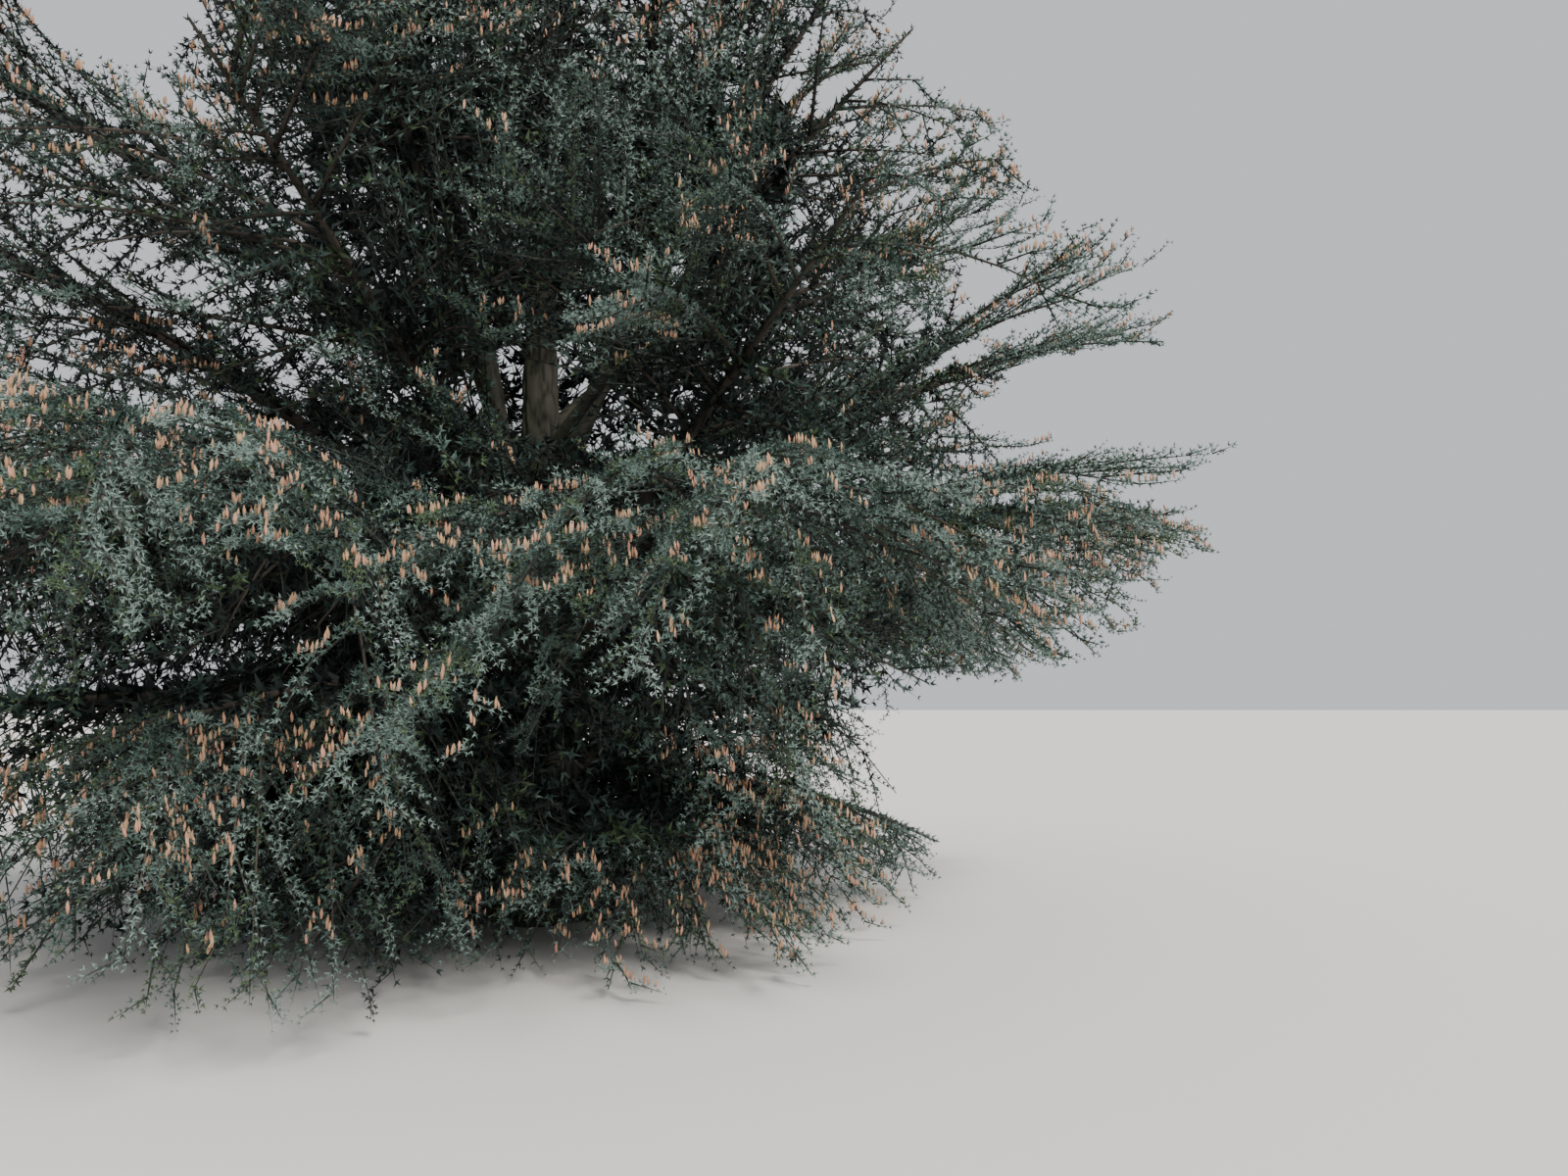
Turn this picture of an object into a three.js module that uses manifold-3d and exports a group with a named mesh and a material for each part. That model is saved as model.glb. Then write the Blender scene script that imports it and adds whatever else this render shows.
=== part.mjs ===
// Blue Atlas cedar, a whole tree: a trunk with two side leaders, six tiers of limbs, and a mass of foliage on
// every limb. Millimetres, +Z up. The origin is the centre of the flat cut at ground level, -Y is the front and
// +X the right-hand side.
import * as THREE from "three";
import { mergeVertices } from "three/addons/utils/BufferGeometryUtils.js";
import Module from "manifold-3d";

const wasm = await Module();
wasm.setup();

const UP = new THREE.Vector3(0, 0, 1);
const RIGHT = new THREE.Vector3(1, 0, 0);
const radians = THREE.MathUtils.degToRad;
const lerp = THREE.MathUtils.lerp;

// Gaps that the pieces keep.
const TOUCH_GAP = 0.3; // between two pieces that meet
const FUSE_TOLERANCE = 1; // seams that are finer than this are smoothed over where blades are fused
const SETTLE_TOLERANCE = 0.2; // corners of a finished solid that are nearer than this become one
const SPACE_MARGIN = 40; // half the clear strip between two masses of foliage
const LIMB_CLEARANCE = 30; // between foliage and the bark of a limb that it passes
const GROUND_CLEARANCE = 45; // between foliage and the ground

// The trunk and its two leaders: where the axis passes, the radius at the foot and tip, and how fast it tapers.
const TRUNK = {
  name: "trunk",
  axis: [
    [0, 0, 0],
    [-45, 5, 1620],
    [-90, 15, 3240],
    [-105, 20, 4860],
    [-85, 20, 6480],
    [-40, 10, 8100],
  ],
  radius: 290,
  tipRadius: 42,
  taper: 1.6,
  sides: 15,
  segments: 13,
};
const LEADERS = [
  {
    name: "leader_left",
    axis: [
      [-60, 10, 1850],
      [-330, 30, 2700],
      [-440, 30, 3700],
      [-780, 0, 5200],
      [-1130, -40, 6300],
      [-1370, -80, 7100],
    ],
    radius: 118,
    tipRadius: 30,
    taper: 0.9,
    sides: 8,
    segments: 8,
  },
  {
    name: "leader_right",
    axis: [
      [-95, 20, 3000],
      [230, 90, 3650],
      [620, 220, 4700],
      [980, 330, 5700],
      [1230, 400, 6500],
    ],
    radius: 96,
    tipRadius: 28,
    taper: 0.9,
    sides: 8,
    segments: 7,
  },
];
const LEADER_CLEAR = 700; // a leader carries limbs only this far above the fork
const STEM_CHECKS = 25; // points along a stem that foliage is kept away from
const FLARE_RADIUS = 130; // how much wider the foot is than the butt
const FLARE_HEIGHT = 260; // the height over which the flare dies away
const BUTTRESSES = 5;
const BUTTRESS_SHARE = 0.35; // how deep the hollows between the root buttresses are

// Tiers of limbs, from the ground up: how many and how many degrees apart, the compass turn of the first from +X,
// the height of their feet, the angle they leave at, how far from the trunk's foot their tips reach and how high
// the tips are, the length of their longest side branches, how far those weep, and how many there are. The limbs
// of a bare tier begin with a bare bough. In the others the foliage has its own stem, straight from the trunk.
const TIERS = [
  { name: "skirt", count: 6, step: 60, turn: 308, foot: 620, rise: 28, reach: 3200, tip: 380 },
  { name: "drape", count: 5, step: 50, turn: 50, foot: 1090, rise: 30, reach: 4300, tip: 1350 },
  { name: "low", count: 7, step: 51.4, turn: 304, foot: 1590, rise: 34, reach: 5000, tip: 2700, bare: true },
  { name: "middle", count: 6, step: 60, turn: 310, foot: 2180, rise: 41, reach: 4700, tip: 4600, bare: true },
  { name: "upper", count: 5, step: 72, turn: 330, foot: 3500, rise: 44, reach: 4150, tip: 6050, bare: true },
  { name: "crown", count: 7, step: 51.4, turn: 295, foot: 5000, rise: 50, reach: 2950, tip: 7500 },
];
const SIDE_BRANCHES = {
  skirt: { length: 1650, weep: 0.55, count: 8 },
  drape: { length: 2000, weep: 0.7, count: 8 },
  low: { length: 2400, weep: 0.6, count: 9 },
  middle: { length: 2300, weep: 0.45, count: 9 },
  upper: { length: 2000, weep: 0.35, count: 9 },
  crown: { length: 1500, weep: 0.28, count: 7 },
  top: { length: 1350, weep: 0.2, count: 8 },
};
const FRONT = 285; // the compass turn at which the crown is shallowest
const FRONT_SHORT = 0.25; // how much shorter it is there
const RADIUS_PER_REACH = 0.0155; // a bough's foot radius for its reach
const BOUGH_TIP_RADIUS = 7;
const BOUGH_SHARE = 0.3; // the share of a limb that is its bare bough
const STALK_SHARE = 0.28; // the share of a stem from the trunk that is bare
const BOUGH_TAPER = 0.85;
const BEND_AT = 0.45; // where along its run a limb bends over
const TURN_STRAY = 6; // degrees that a limb may lie off its place in the tier
const REACH_RANGE = [0.94, 1.04];
const TIP_RANGE = [-220, 260];
const BOW_SHARE = 0.07; // how far a limb bows sideways, as a share of its reach
const FOOT_STAGGER = 230; // the feet of a tier's limbs lie up to this much higher or lower, neighbours apart
const COLLAR_SHARE = 0.2; // how much a bough swells where it leaves the trunk
const COLLAR_LENGTH = 0.05; // as a share of the bough's curve
const BOUGH_SIDES = 6;
const BOUGH_SEGMENTS = 4;
const BOUGH_CHECKS = 9;

// Foliage at the top of the trunk and the leaders.
const TOP_LENGTHS = { trunk: 2250, leader_left: 1650, leader_right: 1600 };

// Side branches: a toothed blade, whose teeth are its sprays of needles.
const STEM_SIDES = 4;
const STEM_SEGMENTS = 6;
const STEM_ROLL = radians(45); // its corners lie between the side branches
const FIRST_BRANCH = 0.04; // where on the stem the side branches begin and end
const LAST_BRANCH = 0.97;
const SPREAD = [66, 40]; // degrees between a side branch and the stem, at the stem's foot and tip
const ROLL_STRAY = 24; // degrees that a side branch may be turned round the stem
const BRANCH_PROFILE = { foot: 0.75, full: 1.25, fade: 0.85 };
const LENGTH_RANGE = [0.85, 1.15];
const WEEP_RANGE = [0.6, 1.3];
const HANGING_EVERY = 3; // of so many side branches one hangs under the stem
const HANGING_SHARE = 0.7; // its length as a share of the others'
const RIB_STEP = 480; // from tooth to tooth
const RIB_LEAST = 2; // teeth on each side
const RIB_MOST = 4;
const RIB_HALF = 17; // half the blade's thickness at its root
const RIB_END_HALF = 4;
const RIB_TIP = 210; // how far the blade's end runs on past its last tooth
const VALLEY = 24; // from the rib to where two teeth meet
const TOOTH_PROFILE = { foot: 0.75, full: 1.35, fade: 0.75 };
const TOOTH_RANGE = [0.8, 1.15];
const TOOTH_WEEP = [0.4, 1.6]; // how much a tooth weeps for its branch's weeping
const TOOTH_SHARE = 0.52; // a tooth's length as a share of its branch
const TOOTH_LEAST = 330;
const TOOTH_MOST = 950;
const TOOTH_ANGLE = radians(50);
const TOOTH_SHORT = 0.6; // a tooth with too little room is tried once more at this share of its length
const GOLDEN_ANGLE = 137.5;

const within = ([low, high], random) => lerp(low, high, random());

// How full growth is along what carries it: short at the foot, longest a little further on, short at the end.
const fullness = ({ foot, full, fade }, share) => Math.min(foot + share, full - fade * share);

// A repeatable series of numbers from 0 to 1 (the mulberry32 rule).
function seeded(seed) {
  let state = seed >>> 0;
  return () => {
    state = (state + 0x6d2b79f5) >>> 0;
    let mixed = Math.imul(state ^ (state >>> 15), state | 1);
    mixed = (mixed + Math.imul(mixed ^ (mixed >>> 7), mixed | 61)) ^ mixed;
    return ((mixed ^ (mixed >>> 14)) >>> 0) / 4294967296;
  };
}

const vector = (point) => new THREE.Vector3(...point);

function solidOf(geometry) {
  const plain = geometry.clone();
  plain.deleteAttribute("normal");
  plain.deleteAttribute("uv");
  const merged = mergeVertices(plain, 1e-3);
  const mesh = new wasm.Mesh({
    numProp: 3,
    vertProperties: new Float32Array(merged.attributes.position.array),
    triVerts: new Uint32Array(merged.index.array),
  });
  return new wasm.Manifold(mesh);
}

function geometryOf(solid) {
  const mesh = solid.getMesh();
  const geometry = new THREE.BufferGeometry();
  geometry.setAttribute("position", new THREE.BufferAttribute(mesh.vertProperties, 3));
  geometry.setIndex(new THREE.BufferAttribute(mesh.triVerts, 1));
  geometry.computeVertexNormals();
  return geometry;
}

// The largest body of a solid, without the loose scraps and sealed hollows that a cut or a join can leave. Its
// corners are settled first, because a scrap can hang on by less than a mesh can tell apart, and so that no face is
// a sliver.
function largestBody(solid) {
  const settled = solidOf(geometryOf(solid)).setTolerance(SETTLE_TOLERANCE);
  return settled.decompose().sort((a, b) => b.volume() - a.volume())[0];
}

// A cylinder bent along a curve, from one share of the curve to another, with its own radius all the way.
// radiusAt takes the share and the angle round the limb. A level limb has every ring horizontal.
function bentCylinder(curve, from, to, { sides, segments, radiusAt, reference = UP, level = false, roll = 0 }) {
  const geometry = new THREE.CylinderGeometry(1, 1, 1, sides, segments, false, roll);
  const position = geometry.attributes.position;
  for (let i = 0; i < position.count; i++) {
    const [x, y, z] = [position.getX(i), position.getY(i), position.getZ(i)];
    const share = lerp(from, to, y + 0.5);
    const along = level ? UP.clone() : curve.getTangent(share);
    const side = reference.clone().addScaledVector(along, -reference.dot(along)).normalize();
    const other = side.clone().cross(along);
    const radius = radiusAt(share, Math.atan2(z, x));
    const point = curve.getPoint(share);
    point.addScaledVector(side, x * radius).addScaledVector(other, z * radius);
    position.setXYZ(i, point.x, point.y, point.z);
  }
  return geometry;
}

// The trunk and the leaders are stems: each has a curve, a radius at every share of it, and its settings.
function makeStem(settings, flared) {
  const curve = new THREE.CatmullRomCurve3(settings.axis.map(vector), false, "catmullrom");
  const radiusAt = (share, angle = 0) => {
    const taper = settings.tipRadius + (settings.radius - settings.tipRadius) * (1 - share) ** settings.taper;
    if (!flared) return taper;
    const fading = Math.exp(-curve.getPoint(share).z / FLARE_HEIGHT);
    return taper + FLARE_RADIUS * fading * (1 + BUTTRESS_SHARE * Math.cos(BUTTRESSES * angle));
  };
  return { ...settings, curve, radiusAt, level: flared };
}

// A stem's solid, or the same solid a little fatter, to cut away what would run into it.
function stemSolid(stem, fatter = 0) {
  const widen = fatter / Math.cos(Math.PI / stem.sides);
  const radiusAt = (share, angle) => stem.radiusAt(share, angle) + widen;
  return solidOf(bentCylinder(stem.curve, 0, 1, { ...stem, radiusAt, reference: RIGHT }));
}

// The point of a stem's axis at a height.
function axisAt(stem, height) {
  let [low, high] = [0, 1];
  for (let step = 0; step < 30; step++) {
    const middle = (low + high) / 2;
    if (stem.curve.getPoint(middle).z < height) low = middle;
    else high = middle;
  }
  return stem.curve.getPoint(low);
}

// A bough leaves whichever stem stands furthest out on its own side of the tree at the height of its foot.
function carrierOf(stems, height, outward) {
  const standing = stems.filter((stem) => {
    const [first, last] = [stem.curve.getPoint(0).z, stem.curve.getPoint(1).z];
    return height > first + LEADER_CLEAR && height < last;
  });
  const usable = standing.length ? standing : [stems[0]];
  return usable.sort((a, b) => axisAt(b, height).dot(outward) - axisAt(a, height).dot(outward))[0];
}

// One limb of a tier: a curve that leaves its stem at an angle and bends over to its tip.
function makeLimb(tier, index, stems) {
  const random = seeded(1000 * TIERS.indexOf(tier) + 10 * index + 7);
  const compass = tier.turn + index * tier.step + within([-TURN_STRAY, TURN_STRAY], random);
  const azimuth = radians(compass);
  const outward = new THREE.Vector3(Math.cos(azimuth), Math.sin(azimuth), 0);
  const sideways = new THREE.Vector3(-outward.y, outward.x, 0);
  const facing = Math.max(0, Math.cos(radians(compass - FRONT)));
  const reach = tier.reach * (1 - FRONT_SHORT * facing) * within(REACH_RANGE, random);
  const foot = tier.foot + lerp(-FOOT_STAGGER, FOOT_STAGGER, ((index * GOLDEN_ANGLE) / 360) % 1);
  const tipHeight = tier.tip + within(TIP_RANGE, random);
  const carrier = carrierOf(stems, foot, outward);
  const start = axisAt(carrier, foot);
  const tip = outward.clone().multiplyScalar(reach).setZ(tipHeight);
  const run = tip.clone().sub(start).setZ(0);
  const bend = start.clone().addScaledVector(run, BEND_AT);
  bend.addScaledVector(sideways, reach * within([-BOW_SHARE, BOW_SHARE], random));
  bend.z = foot + BEND_AT * run.length() * Math.tan(radians(tier.rise));
  const curve = new THREE.QuadraticBezierCurve3(start, bend, tip);
  const footRadius = reach * RADIUS_PER_REACH;
  const radiusAt = (share) => {
    const collar = 1 + COLLAR_SHARE * Math.exp(-share / COLLAR_LENGTH);
    return (BOUGH_TIP_RADIUS + (footRadius - BOUGH_TIP_RADIUS) * (1 - share) ** BOUGH_TAPER) * collar;
  };
  return { label: `${tier.name}_${index + 1}`, tier, index, curve, radiusAt };
}

// A mass of foliage grows from a stem: what is left of its limb beyond the bare bough, or the whole limb.
function massOnLimb({ label, tier, index, curve, radiusAt }) {
  return {
    name: `foliage_${label}`,
    seed: 10 * TIERS.indexOf(tier) + index + 1,
    curve,
    radiusAt,
    from: tier.bare ? BOUGH_SHARE + TOUCH_GAP / curve.getLength() : 0,
    stalk: tier.bare ? 0 : STALK_SHARE,
    reference: UP,
    whorled: false,
    branches: SIDE_BRANCHES[tier.name],
  };
}

// At the top of the trunk and of each leader the stem goes on, with its side branches all round it.
function massOnTop(stem, order) {
  const tip = stem.curve.getPoint(1);
  const along = stem.level ? UP : stem.curve.getTangent(1);
  const first = tip.clone().addScaledVector(along, TOUCH_GAP);
  const last = tip.clone().addScaledVector(along, TOP_LENGTHS[stem.name]);
  return {
    name: `foliage_top_of_${stem.name}`,
    seed: 90 + order,
    curve: new THREE.LineCurve3(first, last),
    radiusAt: (share) => lerp(stem.tipRadius, BOUGH_TIP_RADIUS, share),
    from: 0,
    stalk: 0,
    reference: RIGHT,
    whorled: true,
    branches: SIDE_BRANCHES.top,
  };
}

// The point and the direction at a share of a mass's stem, on the straight pieces that the stem is made of.
function placeOn(mass, share) {
  const piece = Math.min(Math.floor(share * STEM_SEGMENTS), STEM_SEGMENTS - 1);
  const [before, after] = [mass.spine[piece].point, mass.spine[piece + 1].point];
  const start = before.clone().lerp(after, share * STEM_SEGMENTS - piece);
  return { start, along: mass.curve.getTangent(lerp(mass.from, 1, share)) };
}

// Points along a curve, with the radius there.
function beads(curve, from, to, count, radiusAt) {
  return Array.from({ length: count }, (_, i) => {
    const share = lerp(from, to, i / (count - 1));
    return { point: curve.getPoint(share), radius: radiusAt(share) };
  });
}

function distanceToBeads(point, chain) {
  let least = Infinity;
  const segment = new THREE.Line3();
  const nearest = new THREE.Vector3();
  for (let i = 1; i < chain.length; i++) {
    segment.set(chain[i - 1].point, chain[i].point);
    segment.closestPointToPoint(point, true, nearest);
    least = Math.min(least, nearest.distanceTo(point) - Math.max(chain[i - 1].radius, chain[i].radius));
  }
  return least;
}

// Every mass has its own space: nearer its own stem than any other mass's, clear of the limbs and the ground.
function spaceOf(mass, masses, wood) {
  return (point) => {
    if (point.z < GROUND_CLEARANCE) return false;
    if (wood.some((chain) => distanceToBeads(point, chain) < LIMB_CLEARANCE)) return false;
    const own = distanceToBeads(point, mass.spine) + 2 * SPACE_MARGIN;
    return masses.every((other) => other === mass || distanceToBeads(point, other.spine) > own);
  };
}

// The rule for one side branch of a mass: its rib, point by point, and the tips of its teeth.
function growBranch(mass, index, hasRoom) {
  const random = seeded(100 * mass.seed + index);
  const place = (index + random()) / mass.branches.count;
  const share = lerp(mass.stalk + FIRST_BRANCH, LAST_BRANCH, place);
  const { start, along } = placeOn(mass, share);
  const level = mass.whorled ? RIGHT.clone().cross(along) : along.clone().cross(UP);
  const hanging = !mass.whorled && index % HANGING_EVERY === HANGING_EVERY - 1;
  const roll = mass.whorled ? index * GOLDEN_ANGLE : hanging ? 90 : (index % 2) * 180;
  const turn = roll + within([-ROLL_STRAY, ROLL_STRAY], random);
  const across = level.normalize().applyAxisAngle(along, radians(turn));
  const spread = radians(lerp(...SPREAD, share));
  const direction = along.clone().multiplyScalar(Math.cos(spread)).addScaledVector(across, Math.sin(spread));
  const size = mass.branches.length * (hanging ? HANGING_SHARE : 1);
  const length = size * fullness(BRANCH_PROFILE, share) * within(LENGTH_RANGE, random);
  const drop = mass.branches.weep * within(WEEP_RANGE, random);
  const steps = THREE.MathUtils.clamp(Math.round(length / RIB_STEP), RIB_LEAST, RIB_MOST);

  const rib = [start];
  for (let step = 1; step <= steps; step++) {
    const part = step / steps;
    const point = start.clone().addScaledVector(direction, length * part);
    point.addScaledVector(UP, -drop * length * part * part);
    if (!hasRoom(point)) break;
    rib.push(point);
  }
  if (rib.length <= RIB_LEAST) return null;

  const forward = rib[rib.length - 1].clone().sub(rib[rib.length - 2]).normalize();
  const reachOf = (from, way, size) => from.clone().addScaledVector(way, size);
  const fits = (from, way) => (size) => [size, size / 2].every((part) => hasRoom(reachOf(from, way, part)));
  const last = rib[rib.length - 1];
  const end = reachOf(last, forward, [RIB_TIP, RIB_TIP / 2].find(fits(last, forward)) || 2 * VALLEY);

  const teeth = [];
  for (let step = 0; step + 1 < rib.length; step++) {
    const onward = rib[step + 1].clone().sub(rib[step]).normalize();
    const flank = along.clone().addScaledVector(onward, -along.dot(onward)).normalize();
    const middle = rib[step].clone().lerp(rib[step + 1], 0.5);
    const part = (step + 0.5) / steps;
    for (const side of [1, -1]) {
      const swell = fullness(TOOTH_PROFILE, part) * within(TOOTH_RANGE, random);
      const wanted = THREE.MathUtils.clamp(length * TOOTH_SHARE * swell, TOOTH_LEAST, TOOTH_MOST);
      const way = onward.clone().multiplyScalar(Math.cos(TOOTH_ANGLE));
      way.addScaledVector(flank, side * Math.sin(TOOTH_ANGLE));
      way.addScaledVector(UP, -drop * within(TOOTH_WEEP, random));
      const room = [wanted, TOOTH_SHORT * wanted].find(fits(middle, way));
      teeth.push({ side, tip: room && reachOf(middle, way, room) });
    }
  }
  return { along, rib, teeth, end };
}

// The blade of a side branch: a rib with a top and a bottom corner at every step, and a toothed edge on both sides,
// where the surface over the rib and the one under it meet.
function bladeSolid({ along, rib, teeth, end }) {
  const corners = [];
  const add = (point) => corners.push(point) - 1;
  const faces = [];
  const steps = rib.length - 1;
  const frames = rib.map((point, i) => {
    const forward = rib[Math.min(i + 1, steps)].clone().sub(rib[Math.max(i - 1, 0)]).normalize();
    const flank = along.clone().addScaledVector(forward, -along.dot(forward)).normalize();
    const thick = forward.clone().cross(flank).multiplyScalar(lerp(RIB_HALF, RIB_END_HALF, i / steps));
    return { point, forward, flank, thick };
  });
  const over = frames.map(({ point, thick }) => add(point.clone().add(thick)));
  const under = frames.map(({ point, thick }) => add(point.clone().sub(thick)));
  const last = add(end);
  for (const side of [1, -1]) {
    const valleys = frames.map(({ point, forward, flank }) => {
      const valley = point.clone().addScaledVector(forward, VALLEY * Math.cos(TOOTH_ANGLE));
      return add(valley.addScaledVector(flank, side * VALLEY * Math.sin(TOOTH_ANGLE)));
    });
    const tips = teeth.filter((tooth) => tooth.side === side).map(({ tip }) => tip && add(tip));
    for (const [row, facing] of [[over, side], [under, -side]]) {
      const face = (...corner) => faces.push(...(facing > 0 ? corner : corner.reverse()));
      for (let step = 0; step < steps; step++) {
        const tip = tips[step] || valleys[step];
        if (tips[step]) face(row[step], tip, valleys[step]);
        face(row[step], row[step + 1], tip);
        face(row[step + 1], valleys[step + 1], tip);
      }
      face(row[steps], last, valleys[steps]);
    }
    faces.push(...(side > 0 ? [over[0], valleys[0], under[0]] : [under[0], valleys[0], over[0]]));
  }
  const geometry = new THREE.BufferGeometry().setFromPoints(corners);
  geometry.setIndex(faces);
  return solidOf(geometry);
}

function massSolid(mass, hasRoom, cutters) {
  const { curve, radiusAt, from, reference } = mass;
  const shape = { sides: STEM_SIDES, segments: STEM_SEGMENTS, roll: STEM_ROLL, radiusAt, reference };
  const stem = solidOf(bentCylinder(curve, from, 1, shape));
  const blades = [];
  for (let index = 0; index < mass.branches.count; index++) {
    const branch = growBranch(mass, index, hasRoom);
    if (branch) blades.push(bladeSolid(branch));
  }
  const whole = wasm.Manifold.union([stem, ...blades]).simplify(FUSE_TOLERANCE);
  return largestBody(mass.stalk ? whole.subtract(wasm.Manifold.union(cutters)) : whole);
}

// A bough's solid, cut clear of the stem that carries it and of any other that its foot would run through.
function boughSolid(bough, cutters) {
  const shape = { sides: BOUGH_SIDES, segments: BOUGH_SEGMENTS, radiusAt: bough.radiusAt };
  const whole = solidOf(bentCylinder(bough.curve, 0, BOUGH_SHARE, shape));
  return largestBody(whole.subtract(wasm.Manifold.union(cutters)));
}

const BARK = new THREE.MeshStandardMaterial({ color: 0x5b5048, roughness: 0.95, metalness: 0 });
const NEEDLES = new THREE.MeshStandardMaterial({ color: 0x4c6664, roughness: 0.8, metalness: 0 });

function namedMesh(name, solid, material) {
  const mesh = new THREE.Mesh(geometryOf(solid), material);
  mesh.name = name;
  return mesh;
}

const trunk = makeStem(TRUNK, true);
const leaders = LEADERS.map((settings) => makeStem(settings, false));
const stems = [trunk, ...leaders];
const cutters = stems.map((stem) => stemSolid(stem, TOUCH_GAP));
const limbs = TIERS.flatMap((tier) => Array.from({ length: tier.count }, (_, i) => makeLimb(tier, i, stems)));
const boughs = limbs.filter(({ tier }) => tier.bare);
const masses = [...limbs.map(massOnLimb), ...stems.map(massOnTop)];
for (const mass of masses) mass.spine = beads(mass.curve, mass.from, 1, STEM_SEGMENTS + 1, () => 0);
const wood = [
  ...stems.map((stem) => beads(stem.curve, 0, 1, STEM_CHECKS, (share) => stem.radiusAt(share))),
  ...boughs.map((bough) => beads(bough.curve, 0, BOUGH_SHARE, BOUGH_CHECKS, bough.radiusAt)),
];

const cedar = new THREE.Group();
cedar.name = "blue_atlas_cedar";
cedar.add(namedMesh(trunk.name, stemSolid(trunk), BARK));
for (const leader of leaders) {
  cedar.add(namedMesh(leader.name, largestBody(stemSolid(leader).subtract(cutters[0])), BARK));
}
for (const bough of boughs) cedar.add(namedMesh(`bough_${bough.label}`, boughSolid(bough, cutters), BARK));
for (const mass of masses) {
  cedar.add(namedMesh(mass.name, massSolid(mass, spaceOf(mass, masses, wood), cutters), NEEDLES));
}

export default cedar;
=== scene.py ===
# %% [markdown]
# A blue Atlas cedar, a whole tree some ten metres tall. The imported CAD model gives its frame: a trunk with
# two side leaders, bare boughs, and a toothed solid for the foliage on every limb. Here each solid is
# replaced by what it stands for: barked wood, drooping sprays of twigs, rosettes of needles and upright
# pollen cones. All of them grow by the same rule as the solids, from the same sizes and the same seeds, so
# they keep the same place and reach.

# %% The frame
import math

import bpy
import numpy as np
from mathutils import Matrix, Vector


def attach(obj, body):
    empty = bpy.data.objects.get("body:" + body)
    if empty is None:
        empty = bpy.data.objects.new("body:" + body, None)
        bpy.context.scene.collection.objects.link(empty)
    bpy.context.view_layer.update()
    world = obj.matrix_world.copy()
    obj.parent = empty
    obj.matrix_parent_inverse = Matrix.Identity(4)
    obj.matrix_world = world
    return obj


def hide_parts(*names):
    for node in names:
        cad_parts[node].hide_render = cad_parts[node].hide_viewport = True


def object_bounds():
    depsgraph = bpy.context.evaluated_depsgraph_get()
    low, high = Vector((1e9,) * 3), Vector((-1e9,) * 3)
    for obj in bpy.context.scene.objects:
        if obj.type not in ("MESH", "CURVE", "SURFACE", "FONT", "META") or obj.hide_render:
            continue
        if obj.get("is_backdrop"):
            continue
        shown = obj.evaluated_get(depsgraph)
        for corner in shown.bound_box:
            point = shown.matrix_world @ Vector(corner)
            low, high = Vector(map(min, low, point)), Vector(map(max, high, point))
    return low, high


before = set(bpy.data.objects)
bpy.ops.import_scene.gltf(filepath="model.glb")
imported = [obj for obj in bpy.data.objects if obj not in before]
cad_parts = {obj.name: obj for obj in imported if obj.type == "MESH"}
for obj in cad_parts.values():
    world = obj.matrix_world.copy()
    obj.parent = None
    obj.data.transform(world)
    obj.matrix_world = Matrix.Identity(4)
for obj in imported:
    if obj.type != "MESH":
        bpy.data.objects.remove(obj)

cad_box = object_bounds()
print("CAD box", [round(c, 3) for corner in cad_box for c in corner])

# %% [markdown]
# The camera stands where the photograph was taken from: at eye height, beside the crown and close to it, so
# that the top runs out of the picture. It is made first, because a view that is settled early keeps every
# later decision honest.

# %% Camera
LEVEL, TILT = 90.0, 5.0


def in_scene(name, data):
    """A new object that holds a mesh, a camera or a light, linked to the scene."""
    thing = bpy.data.objects.new(name, data)
    bpy.context.scene.collection.objects.link(thing)
    return thing


camera = in_scene("camera", bpy.data.cameras.new("camera"))
camera.location = (1.72, -8.6, 1.6)
camera.rotation_euler = (math.radians(LEVEL + TILT), 0.0, 0.0)
camera.data.sensor_width = 36.0
camera.data.lens = 27.0
bpy.context.scene.camera = camera
eye = np.array(camera.location)
print("camera", tuple(camera.location))

# %% [markdown]
# Growth needs chance that can be repeated. A small generator gives numbers from 0 to 1 for each seed, by
# the same rule as the solids' own, so every limb below bends and droops as its solid does. Python's
# integers have no size limit, so each step is cut to 32 bits by hand. The stride and the shifts belong to
# the generator.

# %% Repeatable chance
WORD, STRIDE = 0xFFFFFFFF, 0x6D2B79F5
UP = np.array([0.0, 0.0, 1.0])
RIGHT = np.array([1.0, 0.0, 0.0])


def seeded(seed):
    state = seed & WORD

    def draw():
        nonlocal state
        state = (state + STRIDE) & WORD
        mixed = ((state ^ (state >> 15)) * (state | 1)) & WORD
        mixed = ((mixed + (((mixed ^ (mixed >> 7)) * (mixed | 61)) & WORD)) & WORD) ^ mixed
        return (mixed ^ (mixed >> 14)) / (WORD + 1)

    return draw


def lerp(low, high, share):
    return low + (high - low) * share


def within(limits, draw):
    return lerp(limits[0], limits[1], draw())


def unit(vector):
    return vector / np.linalg.norm(vector)


def units(vectors):
    """The vectors in the rows of an array, each at length one."""
    return vectors / np.maximum(np.linalg.norm(vectors, axis=-1, keepdims=True), 1e-6)


draw = seeded(1)
print("three numbers from seed 1", [round(draw(), 3) for _ in range(3)])

# %% [markdown]
# The trunk and its leaders follow smooth curves through a few named points, in metres. The kind of curve
# used here passes through every point, instead of only bending toward it, so the points can be read off a
# tree. Each stem tapers by a power of its share, and the trunk's foot widens into root buttresses.

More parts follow.
